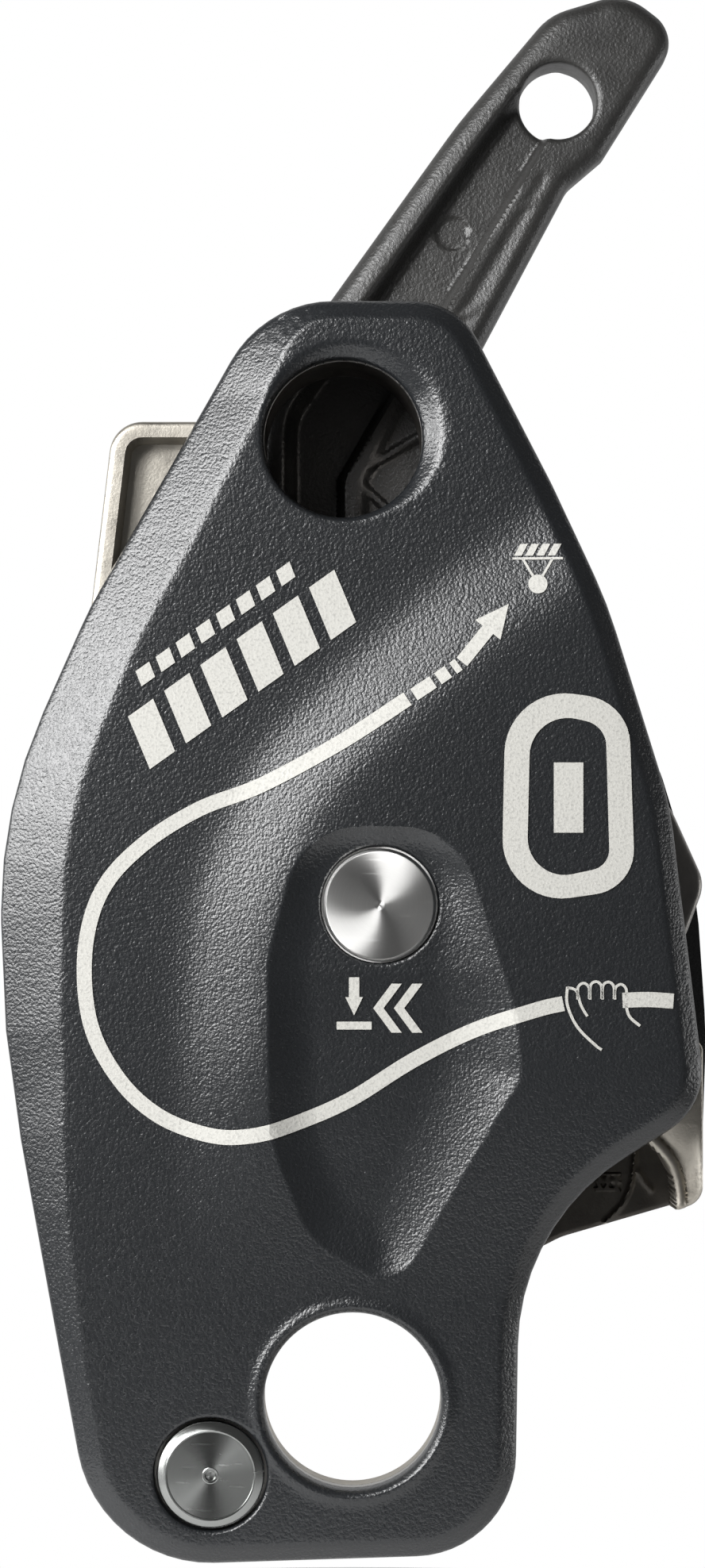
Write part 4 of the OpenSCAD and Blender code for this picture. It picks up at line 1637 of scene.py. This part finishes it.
def dress_nodes(finishes: Finishes) -> int:
    """Gives every carried-over node its finish.

    Args:
        finishes: the finishes to choose from.

    Returns:
        The number of nodes dressed.
    """
    by_slot = {
        "cover_moulding": finishes.cover, "black_moulding": finishes.black_moulding,
        "cast_frame": finishes.frame_casting, "black_casting": finishes.black_casting,
        "plate_steel": finishes.plate, "cam_steel": finishes.cam_casting, "turned_steel": finishes.screw,
        "dark_steel": finishes.dark_steel, "screw_steel": finishes.screw, "spring_steel": finishes.wire,
        "bronze": finishes.bronze,
    }
    slots = {part["node"]: part["material_slot"] for part in frame["record"]["subparts"]}
    for name, node in frame["nodes"].items():
        for place in node.material_slots:
            place.material = by_slot[slots[name]]
    return len(frame["nodes"])


# ---- Studio ----------------------------------------------------------------------------------------

class Softness(Enum):
    """How wide a studio light is, in metres."""

    SMALL = 0.15
    MEDIUM = 0.22


@dataclass
class Studio:
    """Pale table, soft lights, white surround and the camera."""

    eye: tuple[float, float, float] = (0.0, -0.4837, 0.0779)
    frame_height: float = 0.1976
    reach: float = 0.48
    front_light: float = 0.08
    rear_light: float = 0.6

    def build(self) -> None:
        """Makes the table, the lights, the surround and the camera."""
        self._floor()
        self._light("key_left", (-0.32, -0.32, 0.19), Softness.MEDIUM, 2.35)
        self._light("key_upper_left", (-0.19, -0.36, 0.29), Softness.SMALL, 0.85)
        self._light("side_left", (-0.46, -0.10, 0.14), Softness.MEDIUM, 1.3)
        self._light("right_edge", (0.5, 0.05, 0.0), Softness.MEDIUM, 0.4)
        self._world()
        self._camera()
        bpy.context.scene.view_settings.view_transform = "Standard"

    def _floor(self) -> None:
        """Makes the pale round table that the device is shown above."""
        n = Nodes("table_paper")
        n.feed("Base Color", (0.86, 0.86, 0.86, 1))
        n.feed("Roughness", n.spread(n.noise(40), 0.85, 0.95))
        rim = circle((0, 0), 175, 128)
        points = np.column_stack([rim[:, 0], rim[:, 1] + 12, np.full(len(rim), -60.0)])
        table = new_piece("floor", points, [list(range(len(rim)))], n.material, sharp=180)

    def _light(self, name: str, place: tuple[float, float, float], softness: Softness, watts: float) -> None:
        """Aims one square light at the middle of the device.

        Args:
            name: its name.
            place: where it stands, in metres.
            softness: how wide it is.
            watts: its power.
        """
        lamp = bpy.data.lights.new(name, "AREA")
        lamp.energy = watts
        lamp.shape = "SQUARE"
        lamp.size = softness.value
        holder = bpy.data.objects.new(name, lamp)
        holder.location = place
        aim = Vector((0, 0, 0.07)) - Vector(place)
        holder.rotation_euler = aim.to_track_quat("-Z", "Y").to_euler()
        bpy.context.scene.collection.objects.link(holder)

    def _world(self) -> None:
        """Sets a white surround that throws its light from behind and hardly any from the front."""
        world = bpy.data.worlds.new("surround")
        world.use_nodes = True
        tree = world.node_tree

        def node(kind: str, **settings: str) -> bpy.types.Node:
            """Adds one node to the surround.

            Args:
                kind: the node's type, without its ShaderNode prefix.
                settings: attributes to set on the node.

            Returns:
                The new node.
            """
            made = tree.nodes.new("ShaderNode" + kind)
            for key, value in settings.items():
                setattr(made, key, value)
            return made

        toward, split, rise = node("TexCoord"), node("SeparateXYZ"), node("MapRange")
        path, strength = node("LightPath"), node("Math", operation="MAXIMUM")
        for socket, value in (("From Min", 0.12), ("From Max", 0.4), ("To Min", self.front_light),
                              ("To Max", self.rear_light)):
            rise.inputs[socket].default_value = value
        sky = tree.nodes["Background"]
        sky.inputs["Color"].default_value = (1, 1, 1, 1)
        for out, into in (
            (toward.outputs["Generated"], split.inputs[0]), (split.outputs["Y"], rise.inputs["Value"]),
            (rise.outputs["Result"], strength.inputs[0]), (path.outputs["Is Camera Ray"], strength.inputs[1]),
            (strength.outputs[0], sky.inputs["Strength"]),
        ):
            tree.links.new(out, into)
        bpy.context.scene.world = world

    def _camera(self) -> None:
        """Places the camera straight in front, so that the frame is as tall as the device."""
        lens = bpy.data.cameras.new("camera")
        lens.sensor_fit = "VERTICAL"
        lens.sensor_height = 36
        lens.lens = 36 * self.reach / self.frame_height
        lens.clip_start = 0.01
        holder = bpy.data.objects.new("camera", lens)
        holder.location = self.eye
        holder.rotation_euler = (math.pi / 2, 0, 0)
        bpy.context.scene.collection.objects.link(holder)
        bpy.context.scene.camera = holder


# ---- Making ----------------------------------------------------------------------------------------

def main() -> None:
    """Builds the studio, then every sub-assembly, and logs each piece."""
    logging.basicConfig(level=logging.INFO, format="%(message)s")
    Studio().build()
    finishes = Finishes.mix()
    shape = CoverShape(
        face=COVER_FACE_Y,
        button=node_axis("lock_button"),
        pin=node_axis("pivot_pin"),
        upper=node_axis("upper_sleeve"),
        upper_r=UPPER_HOLE_R,
        connector_r=CONNECTOR_HOLE_R,
    )
    assemblies = [SidePlateCover(shape, finishes), LockPieces(finishes), Handle(finishes), Frame(finishes)]
    for assembly in assemblies:
        for piece in assembly.build():
            LOG.info("%s: %d faces", piece.name, len(piece.data.polygons))
    LOG.info("dressed %d carried-over nodes", dress_nodes(finishes))


if __name__ == "__main__":
    main()
